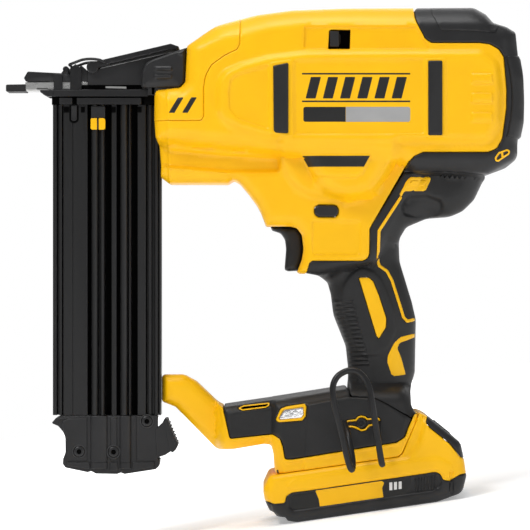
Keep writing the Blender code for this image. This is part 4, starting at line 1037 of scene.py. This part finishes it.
def slide_cover():
    section = [(-120.4, -8.4, 0.6), (-119.8, -9.2, 0.4), (-118.2, -9.2, 0.4), (-117.8, -5, 0),
        (-117, -5, 0), (-116.8, -9.4, 0.4), (-115.2, -9.4, 0.4), (-115, -5, 0), (-114.6, -5, 0),
        (-114.4, -8.9, 0.3), (-109.3, -8.9, 0), (-109.2, -8.6, 0), (-108.9, -8.6, 0),
        (-108.8, -8.9, 0), (-100.6, -8.9, 0.5), (-100.4, -3, 0), (-98.7, -3, 0)]
    section += round_bar(-98.6, -94.4, -7.2, -11)
    section += [(-94.2, -7.6, 0), (-93.9, -7.6, 0)]
    section += round_bar(-93.8, -90.7, -7.2, -10.4)
    section += [(-90.5, -3, 0), (-87.3, -3, 0), (-87.1, -8.8, 0.4), (-84.2, -8.8, 0.4),
        (-84, -3, 0), (-82.3, -3, 0)]
    section += round_bar(-82.2, -77.7, -7.4, -11)
    section += round_bar(-77.6, -75.7, -7.2, -10)
    section += [(-75.5, -3, 0), (-72.5, -3, 0), (-72.3, -9.3, 0.4), (-67.6, -9.3, 0.3),
        (-67.6, -0.9, 0), (-119.5, -0.9, 0), (-119.5, 6.5, 0.3), (-120.4, 6.5, 0.5)]
    solid("magazine_slide_cover", [prism(section, MAGAZINE_END, MAGAZINE_TOP, 'Z')],
        "black_aluminium", ["magazine_cover"], body="magazine", bevel=0.15, sharp=28)


# Painted shade: near-black floors in the cover's channels and near-black blocks in its small holes,
# standing in for the shade there.
def cover_windows():
    floors = [box(x0, x1, -3.4, -2, MAGAZINE_END, MAGAZINE_TOP) for x0,
        x1 in ((-100.4, -98.7), (-90.5, -87.3), (-84, -82.3), (-75.5, -72.5))]
    windows = [box(x0, x1, y, -6, -14.4, -11.2) for x0, x1, y in ((-114.2, -111.2, -9.15),
            (-104.4, -102.2, -9.15), (-87.0, -84.6, -9.05), (-72.2, -70, -9.55))]
    solid("cover_windows", floors + windows, "painted_shade_black", body="magazine", slot="black_aluminium",
        bevel=0)


def cover_notch():
    outer = [(-111, -10.4, 0.5), (-105.7, -10.4, 0.5), (-105.7, -20.4, 2.4), (-111, -20.4, 2.4)]
    inner = [(-110, -10.4, 0.3), (-106.7, -10.4, 0.3), (-106.7, -19.2, 1.5), (-110, -19.2, 1.5)]
    # Painted shade: a near-black plate behind the key, standing in for the shade in the notch.
    solid("cover_notch", [prism(outer, -9.1, -8)], "painted_shade_black", body="magazine",
        slot="black_aluminium", bevel=0)
    solid("cover_key", [prism(inner, -9.5, -8)], "black_metal", body="magazine",
        slot="black_aluminium", bevel=0.3)


def magazine_spine():
    rail = [(-119.4, 0.9, 0), (-67.2, 0.9, 0), (-67.2, -5, 0.2), (-66.4, -5, 0), (-66.2, -8.9, 0.3),
        (-64.4, -8.9, 0.3), (-64.2, -5, 0), (-62.6, -5, 0), (-62.4, -9, 0.3), (-60.8, -9, 0.3),
        (-60.7, -6, 0), (-60.2, -6, 0), (-60.1, -8.6, 0.3), (-59, -8.6, 0.5), (-59, 9, 0.6),
        (-62.2, 9, 0.3), (-62.4, 8.2, 0), (-63, 8.2, 0), (-63.2, 9, 0.3), (-70, 9, 0.6),
        (-72, 5.8, 0.3), (-80, 5.8, 0), (-80.4, 5, 0), (-81.6, 5, 0), (-82, 5.8, 0), (-96, 5.8, 0),
        (-96.4, 5, 0), (-99.6, 5, 0), (-100, 5.8, 0), (-112, 5.8, 0), (-112.4, 5, 0),
        (-113.6, 5, 0), (-114, 5.8, 0), (-119.4, 5.8, 0.4)]
    solid("magazine_spine", [prism(rail, MAGAZINE_END, MAGAZINE_TOP, 'Z')], "black_aluminium",
        ["magazine_rail"], bevel=0.15, sharp=28)


def nail_pusher():
    halves = [prism([(-98.8, -24.2, 1), (-98.8, -17.7, 1), (-95.2, -17.7, 0.3),
            (-95.2, -24.2, 0.3)], -12.1, -7.5),
        prism([(-94.2, -24.2, 0.3), (-94.2, -17.7, 0.3), (-90.5, -17.7, 1.2), (-90.5, -24.2, 1.2)],
            -12.1, -7.5), box(-96, -93.6, -10.6, 0.6, -24, -18), box(-117.6, -70, -0.6, 0.6, -24.3,
            -17.6)]
    solid("nail_pusher", halves, "yellow_plastic", ["pusher"], body="pusher", bevel=0.7)
    solid("pusher_slot", [box(-95.3, -94.1, -11.6, -10, -24, -18),
            prism([(-98.6, -11, 0.3), (-90.6, -11, 0.3), (-90.6, -17.5, 0.3), (-98.6, -17.5, 0.3)],
            -11.3, -7.5)], "black_plastic", body="pusher", slot="yellow_plastic", bevel=0.2)


def magazine_cap():
    cap = [(-118.6, -187.6, 0.5), (-116, -186.3, 0.5), (-61, -186.3, 0.5), (-61.6, -196, 1),
        (-61.4, -210.6, 0.8), (-59.6, -211, 1), (-60, -214.8, 1.5), (-62, -216.7, 1.5),
        (-79.6, -219.4, 0.6), (-81.8, -218.6, 0.6), (-83.9, -219.4, 0.6), (-95.8, -219.2, 0.6),
        (-98.6, -217.8, 0.6), (-100.6, -218.4, 0.6), (-113.2, -215.8, 1.5), (-114.7, -213.8, 1),
        (-114.6, -210.8, 1), (-113.2, -207.1, 3), (-113.3, -198.4, 6), (-114.8, -195.1, 3),
        (-117.3, -192.2, 3), (-120.6, -190.8, 0.6), (-120.8, -190.1, 0.4)]
    shapes = [prism(cap, -9.3, 9.3)]
    lips = [((-117.4, -100.9), -185.2), ((-87.6, -84), -186.6), ((-73, -60.6), -184.9)]
    for (x0, x1), high in lips:
        shapes.append(prism([(x0, -212, 0.5), (x0, high - 1.6, 0.5), (x1, high - 1.6, 0.5),
                (x1, -212, 0.5)] if x0 > -110 else [(-112.6, -212, 0.5), (-112.6, -199, 4),
                (-115.6, -190, 2), (-112, -188, 1), (x1, -188, 0.5), (x1, -212, 0.5)], -10, -9))
        shapes.append(box(x0, x1, -9.9, -8.6, -188.4, -187.3))
    shapes.append(prism([(-113, -212.8, 0.8), (-99.4, -212.8, 0.8), (-99.4, -216.6, 0.8),
            (-111.6, -214.9, 1)], -10.3, -9))
    shapes.append(prism([(-88, -212.8, 0.8), (-83.4, -212.8, 0.8), (-83.4, -217.6, 0.8),
            (-88, -217.6, 0.8)], -10.3, -9))
    shapes.append(prism([(-75.2, -212.8, 0.8), (-62.4, -212.8, 0.8), (-63, -215.4, 0.8),
            (-75.2, -217.4, 0.8)], -10.3, -9))
    for x0, x1 in ((-99.2, -89.2), (-82.6, -75.8)):
        for low, high, reach in ((-212.6, -186.3, -11.2), (-216.4, -212.4, -10.7)):
            bar = round_bar(x0, x1, -8.8, reach) + [(x1, -8, 0), (x0, -8, 0)]
            shapes.append(prism(bar, low, high, 'Z'))
    solid("magazine_cap", shapes, "black_plastic", ["magazine_foot"], body="magazine", bevel=0.55)


def cap_screws():
    places = ((-105.4, -206.6), (-85.9, -206.8), (-67, -189.4))
    # Painted shade: a near-black ring round each screw head, standing in for the shade in its well.
    wells = [lathe([(-0.4, 0), (-0.4, 3.7), (0.15, 3.7), (0.15, 0)], (x, -10, z), (0, -1, 0)) for x,
        z in places]
    solid("screw_wells", wells, "painted_shade_black", body="magazine", bevel=0)
    heads = [screw_head((x, -9.6, z), (0, -1, 0), 2.9, 1.1) for x, z in places]
    rims = [lathe([(0, 3.3), (0, 4.1), (0.7, 3.9), (0.7, 3.3)], (x, -9.6, z), (0, -1, 0)) for x,
        z in places]
    solid("cap_screws", heads + rims, "black_metal", body="magazine", slot="black_plastic", bevel=0)


def cap_latch():
    side_plate = [(-62.3, -194.4, 0.6), (-58.4, -190.7, 0.6), (-57, -187.6, 0.8),
        (-55.3, -189, 0.8), (-54, -193, 3), (-50.6, -201.6, 2), (-51.8, -205.4, 1),
        (-56.6, -208.6, 1), (-61.2, -210, 0.6)]
    thumb = [(-57.2, -188.2, 0.8), (-55.4, -187.6, 0.8), (-53.4, -194, 4), (-49.2, -202.8, 1.5),
        (-50.4, -205.4, 1), (-52.8, -207.6, 0.8), (-54.6, -204, 4), (-56, -196, 4)]
    shapes = [prism(side_plate, side * 9.5, side * 10.6) for side in (-1, 1)]
    shapes.append(prism(thumb, -11, 11))
    for step in range(7):
        share = step / 6
        x, z = -54.4 + 4.3 * share, -191 - 10.8 * share
        shapes.append(prism([(x - 1.4, z + 0.1, 0.2), (x + 0.5, z + 0.8, 0.2),
                (x + 0.7, z + 0.2, 0.2), (x - 1.2, z - 0.6, 0.2)], -11.3, 11.3))
    solid("cap_latch", shapes, "black_plastic", ["magazine_latch"], body="magazine_latch",
        bevel=0.3)


for build in (slide_cover, cover_windows, cover_notch, magazine_spine, nail_pusher, magazine_cap,
        cap_screws, cap_latch):
    build()


# ------------------------------------------------- controls, hook, prints

TRIGGER = [(3.2, -79.1, 0.3), (15.2, -78.7, 3), (18.8, -79.8, 3), (21.6, -83.8, 4),
    (22.6, -91.8, 10), (21.6, -98, 6), (19, -104.2, 0.6), (13.2, -104.5, 1.2), (11.3, -103.8, 1),
    (11.2, -102, 2), (12, -91.8, 12), (11.4, -86.7, 5), (9.1, -83, 4), (4, -81.3, 1)]
SPRING_ROOM = [(14, -92.6), (14, -81.4), (26, -81.4), (26, -92.6)]


def trigger_lever():
    relief("trigger_lever", TRIGGER, "black_plastic", ["trigger"], body="trigger",
        forms=[Form(TRIGGER, 8, 3, 3.5, 2, 1)], details=[], joined=True, floor=0, spacing=1.4,
        clear=(SPRING_ROOM, 3.8))


def stall_slider():
    lever = [box(36.2, 41.4, -32.2, -24, 21.3, 30.1), box(41.3, 42.2, -31, -24, 23, 28.4)]
    solid("stall_slider", lever, "black_plastic", ["stall_lever"], body="stall_lever", bevel=0.5)
    # Painted shade: a near-black sunk sheet behind the slot, standing in for the shade inside it.
    both_sides("slot_well", grown(STALL_SLOT, 1.5), "painted_shade_black", lift=-6.5, roll=0, wall=1.0,
        spacing=3)


def belt_hook():
    hook = [(44.6, -32, -189.6), (44.8, -38, -190.4), (46.2, -47, -196), (48.2, -53, -207),
        (48.4, -56.2, -212.2), (47.4, -59.2, -213.4), (45.2, -60, -207), (42.6, -60.1, -195),
        (39.4, -60, -182.5), (37.6, -59.6, -173.5), (37.5, -58.8, -167.4), (39.6, -57.8, -162.8),
        (43.4, -57.2, -160), (47.6, -57, -159), (51.8, -57.3, -160.2), (55.4, -58, -164),
        (57.5, -58.8, -169), (58.8, -59.6, -176), (61.4, -60.1, -192.5), (63.8, -59.8, -207.2),
        (64.6, -58, -210.8), (64, -53, -208), (63, -46, -199), (62.8, -38, -190.5),
        (62.8, -32, -188.5)]
    solid("hook_wire", [tube(curve_through(hook, 8), 1.75, 18)], "black_metal", ["belt_hook"],
        bevel=0)
    solid("hook_bolt", [screw_head((53.8, -32.2, -189.3), (0, -1, 0), 3.3, 3.0)], "black_metal",
        ["belt_hook_screw"], bevel=0)


def prints():
    """Plain graphic marks: rules, bars and blank plates with no lettering."""
    thin = {"lift": 0.12, "roll": 0.1, "wall": 0.35, "spacing": 3.0}
    for number, z in enumerate((5.9, -9.5)):
        both_sides(f"print_rule_{number + 1}", [(20.6, z - 0.45, 0), (81, z - 0.45, 0),
                (81, z + 0.45, 0), (20.6, z + 0.45, 0)], "black_print", **thin)
    for number in range(6):
        x = 22.6 + 9.6 * number
        both_sides(f"print_bar_{number + 1}", [(x, -7.9, 0.4), (x + 5.6, -7.9, 0.4),
                (x + 8.6, 4.1, 0.4), (x + 3, 4.1, 0.4)], "black_print", **thin)
    both_sides("plate_dark", [(21.4, -20.9, 1.2), (45, -20.9, 0.1), (45, -12.6, 0.1),
            (21.4, -12.6, 1.2)], "black_print", **thin)
    both_sides("plate_grey", [(45.1, -20.9, 0.1), (81, -20.9, 1.2), (81, -12.6, 1.2),
            (45.1, -12.6, 0.1)], "grey_print", **thin)
    both_sides("size_plate", [(20.9, -39.9, 0.2), (58.6, -39.9, 0.2), (55.2, -45.9, 0.4),
            (24.2, -45.9, 0.4)], "black_print", lift=0.35, roll=0.1, wall=0.6, spacing=1.3)
    for number in range(2):
        x = -54 + 7.5 * number
        both_sides(f"front_mark_{number + 1}", [(x, -15.6, 0.3), (x + 3.2, -15.6, 0.3),
                (x + 8.4, -7, 0.3), (x + 5.2, -7, 0.3)], "black_print", **thin)


def tail_loop():
    loop = [(128.3, -41, 1.2), (130.4, -37.9, 1.2), (135.3, -36, 1), (137.3, -36.9, 1),
        (136.7, -38.9, 1.2), (130.6, -43.1, 1), (128.8, -42.8, 1)]
    both_sides("loop_rim", loop, "yellow_plastic", holes=[grown(loop, -1.0)], lift=0.9, roll=0.3,
        wall=1.0, spacing=1.2)
    both_sides("loop_bar", [(131.9, -38.3, 0.1), (133.1, -38, 0.1), (133.5, -40.2, 0.1),
            (132.3, -40.9, 0.1)], "yellow_plastic", lift=0.9, roll=0.3, wall=1.0, spacing=1.2)


for build in (trigger_lever, stall_slider, belt_hook, prints, tail_loop):
    build()


# ----------------------------------------------------------------- battery

PACK_LINE = [(1.4, -233.2, 1), (5.5, -234.3, 2), (11, -233.8, 1.5), (12, -229.7, 3),
    (15.4, -227.9, 4), (26.6, -226.5, 0), (95.4, -216.4, 3), (98, -217.8, 3), (99.5, -220.9, 1.5),
    (102.9, -221.4, 1.5)]
PACK_PANEL = [(13.4, -230, 3), (16, -228.6, 3), (95.2, -217.2, 3), (97.8, -218.8, 3),
    (98.6, -221.9, 3), (97.2, -225, 3), (93.4, -227, 3), (16, -238.4, 3), (13.4, -236.4, 3)]
PACK_BODY = stood((-43, 0, 8), (41, 0, 10), (55.5, 3, 6), (59.2, 12, 8), (58.6, 31, 6),
    (42.4, 48.4, 3), (31, 60, 1), (12, 44, 2), (-40, 40, 2), (-50.4, 28.4, 4), (-54.7, 21, 6),
    (-53.5, 10, 8))
PACK_FORMS = [Form(PACK_BODY, 36.6, 4.5, 5, 1.8)]
PACK_DETAILS = [Detail(PACK_PANEL, -0.9, 1.0),
    Detail([(6, -219.4, 2), (80, -208.6, 4), (86, -200, 4), (90, -186, 2), (96, -178, 2),
        (60, -160, 2), (-6, -180, 2), (-6, -214, 2)], -2.0, 2.6),
    Detail([(24, -226.4, 2), (94, -215.2, 4), (99, -217.3, 2), (102, -220.4, 1), (106, -219.4, 1),
        (104, -212, 3), (97, -208.4, 4), (84, -209.8, 6), (16, -220.6, 4), (10, -226, 2)], 0.6,
        1.6), Detail([(-2, -231.6, 1), (3.4, -232.4, 1), (4.6, -242, 1), (-2, -242, 1)], -1.4, 0.8,
        0.5), Detail([(103.2, -216, 0.5), (103.2, -232, 0.5), (105.2, -232, 0.5),
        (105.2, -216, 0.5)], -1.0, 0.8, 0.5)]
PACK_SIDE = {"body": "battery", "forms": PACK_FORMS, "details": PACK_DETAILS}
SLOPE = [(90.9, -185.5, 0.5), *stood((58.6, 31, 6), (59.3, 22, 1)), (109.4, -208.2, 1),
    (103, -200.3, 3), (92.1, -191.8, 1.5), (90, -189, 0.6)]


def pack_case():
    upper = [*stood((-54.6, 14.6, 1), (-54.7, 21, 6), (-50, 28.1, 4), (23, 28.1, 1),
            (25.6, 29.7, 2), (38.3, 50.7, 1), (42.2, 48.5, 0.4)), (89.8, -188.9, 0.6),
        (91.9, -192, 1.5), (102.8, -200.6, 3), (109.1, -208.5, 1), *stood((59.3, 21.6, 0.4),
            (59.2, 13.8, 0.4)), (108.9, -217.8, 0.4), *reversed(PACK_LINE)]
    relief("pack_top", upper, "yellow_plastic", ["battery_case_upper"], **PACK_SIDE, joined=True,
        spacing=2.2)
    lower = [on_stand(-54.5, 14.3, 0.5), *PACK_LINE, (108.9, -218.1, 0.4), *stood((59.2, 13.5, 0.4),
            (59.2, 12, 3), (55.5, 3, 6), (41, 0, 10), (-38, 0, 8), (-43.5, 1.8, 1), (-44.6, 4, 0.6),
            (-49.2, 4.8, 1), (-50.6, 7.6, 0.6), (-52.6, 8.4, 1))]
    relief("pack_base", lower, "black_plastic", ["battery_case_lower"], **PACK_SIDE, joined=True,
        spacing=2.2)


def pack_prints():
    thin = {**PACK_SIDE, "lift": 0.15, "roll": 0.1, "wall": 0.4, "spacing": 3.0}
    both_sides("pack_label", [(28, -226.9, 0.3), (65.1, -221.5, 0.3), (66.6, -222.4, 0.6),
            (65.4, -225.4, 1), (66.1, -230.6, 0.3), (30.6, -235.8, 0.3), (30, -231.6, 1)],
        "yellow_plastic", **thin)
    both_sides("pack_tag_left", [(14.4, -230.2, 1.5), (16.4, -229.4, 1.5), (27, -227.7, 0.3),
            (29.6, -232, 1), (30.1, -235.9, 0.3), (16, -237.4, 1.5), (14.4, -236, 1.5)],
        "black_print", **thin)
    both_sides("pack_tag_right", [(67.6, -221.2, 0.6), (81.6, -219.3, 0.3), (81.6, -222, 0.5),
            (78.6, -228.6, 0.8), (66.7, -230.6, 0.3), (66.2, -226.6, 1)], "black_print", **thin)
    for number in range(3):
        x = 69.4 + 2.6 * number
        both_sides(f"charge_mark_{number + 1}", [(x, -226.8 + 0.35 * number, 0.2),
                (x + 1.7, -226.6 + 0.35 * number, 0.2), (x + 1.7, -222.2 + 0.25 * number, 0.2),
                (x, -222.4 + 0.25 * number, 0.2)], "white_print",
            **{**thin, "lift": 0.3, "spacing": 1.5})


def pack_ribs():
    for number in range(7):
        x = 84 + 1.8 * number
        both_sides(f"pack_rib_{number + 1}", [(x, -227.6 + 0.2 * number, 0.3),
                (x + 0.9, -227.5 + 0.2 * number, 0.3), (x + 0.5, -219.9 + 0.25 * number, 0.3),
                (x - 0.4, -220 + 0.25 * number, 0.3)], "black_plastic", **PACK_SIDE, lift=0.7,
            roll=0.35, wall=0.8, spacing=1.5)


def pack_slope():
    both_sides("pack_slope", SLOPE, "black_plastic", **PACK_SIDE, lift=-0.2, middle=18.6, roll=0.5,
        spacing=1.6)


def pack_deck():
    deck = stood((-49.5, 26.2, 0.3), (-49.5, 28, 0.8), (23, 28, 1), (25.6, 29.6, 1),
        (38.2, 50.4, 0.5), (40, 49.4, 0.3), (27.4, 28.6, 1), (24, 26.2, 1))
    solid("pack_deck", [prism(deck, -34, 34)], "yellow_plastic", body="battery", bevel=0.3)


def pack_contacts():
    rails = []
    for side in (-1, 1):
        rails.append(prism(stood((-44, 27.9, 0.2), (-44, 28.15, 0.1), (20, 28.15, 0.1),
                (20, 27.9, 0.2)), side * 15, side * 24))
    for contact in range(5):
        y = -12 + 6 * contact
        rails.append(prism(stood((-30, 27.9, 0.1), (-30, 28.12, 0.1), (14, 28.12, 0.1),
                (14, 27.9, 0.1)), y - 0.9, y + 0.9))
    solid("pack_contacts", rails, "black_plastic", body="battery", bevel=0)


def pack_button():
    button = stood((43.4, 47.2, 0.6), (57.8, 31.8, 1.2), (55.2, 29.4, 0.4), (41, 44.4, 0.4))
    shapes = [prism(button, -17.9, 17.9)]
    for step in range(4):
        share = 0.3 + 0.14 * step
        x, z = 43.4 + 14.4 * share, 47.2 - 15.4 * share
        shapes.append(prism(stood((x - 0.9, z - 0.9, 0.3), (x - 0.1, z + 0.9, 0.3),
                (x + 0.7, z + 0.1, 0.3), (x, z - 1.8, 0.3)), -14, 14))
    solid("pack_button", shapes, "black_plastic", ["battery_latch"], body="battery_latch",
        bevel=0.4)
    # Painted shade: a near-black strip round the button, standing in for the shade in its well.
    well = stood((37.5, 42.5, 0.3), (52.4, 26.6, 0.3), (51.2, 25.2, 0.3), (36.2, 41.2, 0.3))
    solid("button_well", [prism(well, -18.3, 18.3)], "painted_shade_black", body="battery", bevel=0)


for build in (pack_case, pack_prints, pack_ribs, pack_slope, pack_deck, pack_contacts, pack_button):
    build()


# ---------------------------------------------------------------- stage

FLOOR_RADIUS = 1.6
LIGHTS_AIM = (-0.02, 0, 0.14)
CAMERA_PLACE = (-0.0354, -1.8, 0.1452)
SENSOR_WIDTH = 36
FOCAL_LENGTH = 214.5


def stage():
    """A round pale floor that brightens towards its rim, so no edge shows against white."""
    disc = bmesh.new()
    bmesh.ops.create_circle(disc, cap_ends=True, segments=96, radius=FLOOR_RADIUS)
    mesh = bpy.data.meshes.new("floor")
    disc.to_mesh(mesh)
    disc.free()
    floor = bpy.data.objects.new("floor", mesh)
    bpy.context.scene.collection.objects.link(floor)
    paper = bpy.data.materials.new("floor_paper")
    paper.use_nodes = True
    nodes = paper.node_tree.nodes
    links = paper.node_tree.links
    shader = nodes["Principled BSDF"]
    shader.inputs["Base Color"].default_value = (0.9, 0.9, 0.9, 1)
    shader.inputs["Roughness"].default_value = 0.9
    shader.inputs["Emission Color"].default_value = (1, 1, 1, 1)
    place = nodes.new("ShaderNodeTexCoord")
    reach = nodes.new("ShaderNodeVectorMath")
    reach.operation = 'LENGTH'
    links.new(place.outputs["Object"], reach.inputs[0])
    glow = nodes.new("ShaderNodeMapRange")
    glow.inputs["From Min"].default_value = 0.3
    glow.inputs["From Max"].default_value = 0.9
    glow.inputs["To Min"].default_value = 0.32
    glow.inputs["To Max"].default_value = 1.0
    links.new(reach.outputs["Value"], glow.inputs["Value"])
    links.new(glow.outputs["Result"], shader.inputs["Emission Strength"])
    mesh.materials.append(paper)


def white_surround(strength):
    """White behind the object, and an even light of the given strength on it."""
    world = bpy.data.worlds.new("studio")
    bpy.context.scene.world = world
    world.use_nodes = True
    nodes = world.node_tree.nodes
    links = world.node_tree.links
    light = nodes["Background"]
    light.inputs["Color"].default_value = (1, 1, 1, 1)
    light.inputs["Strength"].default_value = strength
    white = nodes.new("ShaderNodeBackground")
    white.inputs["Color"].default_value = (1, 1, 1, 1)
    white.inputs["Strength"].default_value = 1.0
    path = nodes.new("ShaderNodeLightPath")
    both = nodes.new("ShaderNodeMixShader")
    links.new(path.outputs["Is Camera Ray"], both.inputs[0])
    links.new(light.outputs[0], both.inputs[1])
    links.new(white.outputs[0], both.inputs[2])
    links.new(both.outputs[0], nodes["World Output"].inputs["Surface"])


def lamp(name, where, aim, size, power):
    data = bpy.data.lights.new(name, 'AREA')
    data.shape = 'RECTANGLE'
    data.size, data.size_y = size
    data.energy = power
    light = bpy.data.objects.new(name, data)
    light.location = where
    light.rotation_euler = (Vector(aim) - Vector(where)).to_track_quat('-Z', 'Y').to_euler()
    light.visible_camera = False
    bpy.context.scene.collection.objects.link(light)


def lights_and_camera():
    lamp("key", (-0.9, -1.1, 1.9), LIGHTS_AIM, (0.55, 0.55), 19)
    lamp("fill", (1.3, -1.5, 0.4), LIGHTS_AIM, (0.8, 1.2), 2.4)
    lamp("top", (0.1, -0.1, 1.8), LIGHTS_AIM, (1.0, 0.8), 14)
    lamp("rim", (0.5, 1.5, 1.0), LIGHTS_AIM, (1.5, 0.8), 7)
    white_surround(0.3)
    data = bpy.data.cameras.new("camera")
    data.sensor_width = SENSOR_WIDTH
    data.lens = FOCAL_LENGTH
    camera = bpy.data.objects.new("camera", data)
    camera.matrix_world = Matrix.Translation(CAMERA_PLACE) @ Matrix.Rotation(TILT, 4,
        'Y') @ Matrix.Rotation(math.pi / 2, 4, 'X')
    bpy.context.scene.collection.objects.link(camera)
    bpy.context.scene.camera = camera
    bpy.context.scene.view_settings.view_transform = 'Standard'


stage()
lights_and_camera()
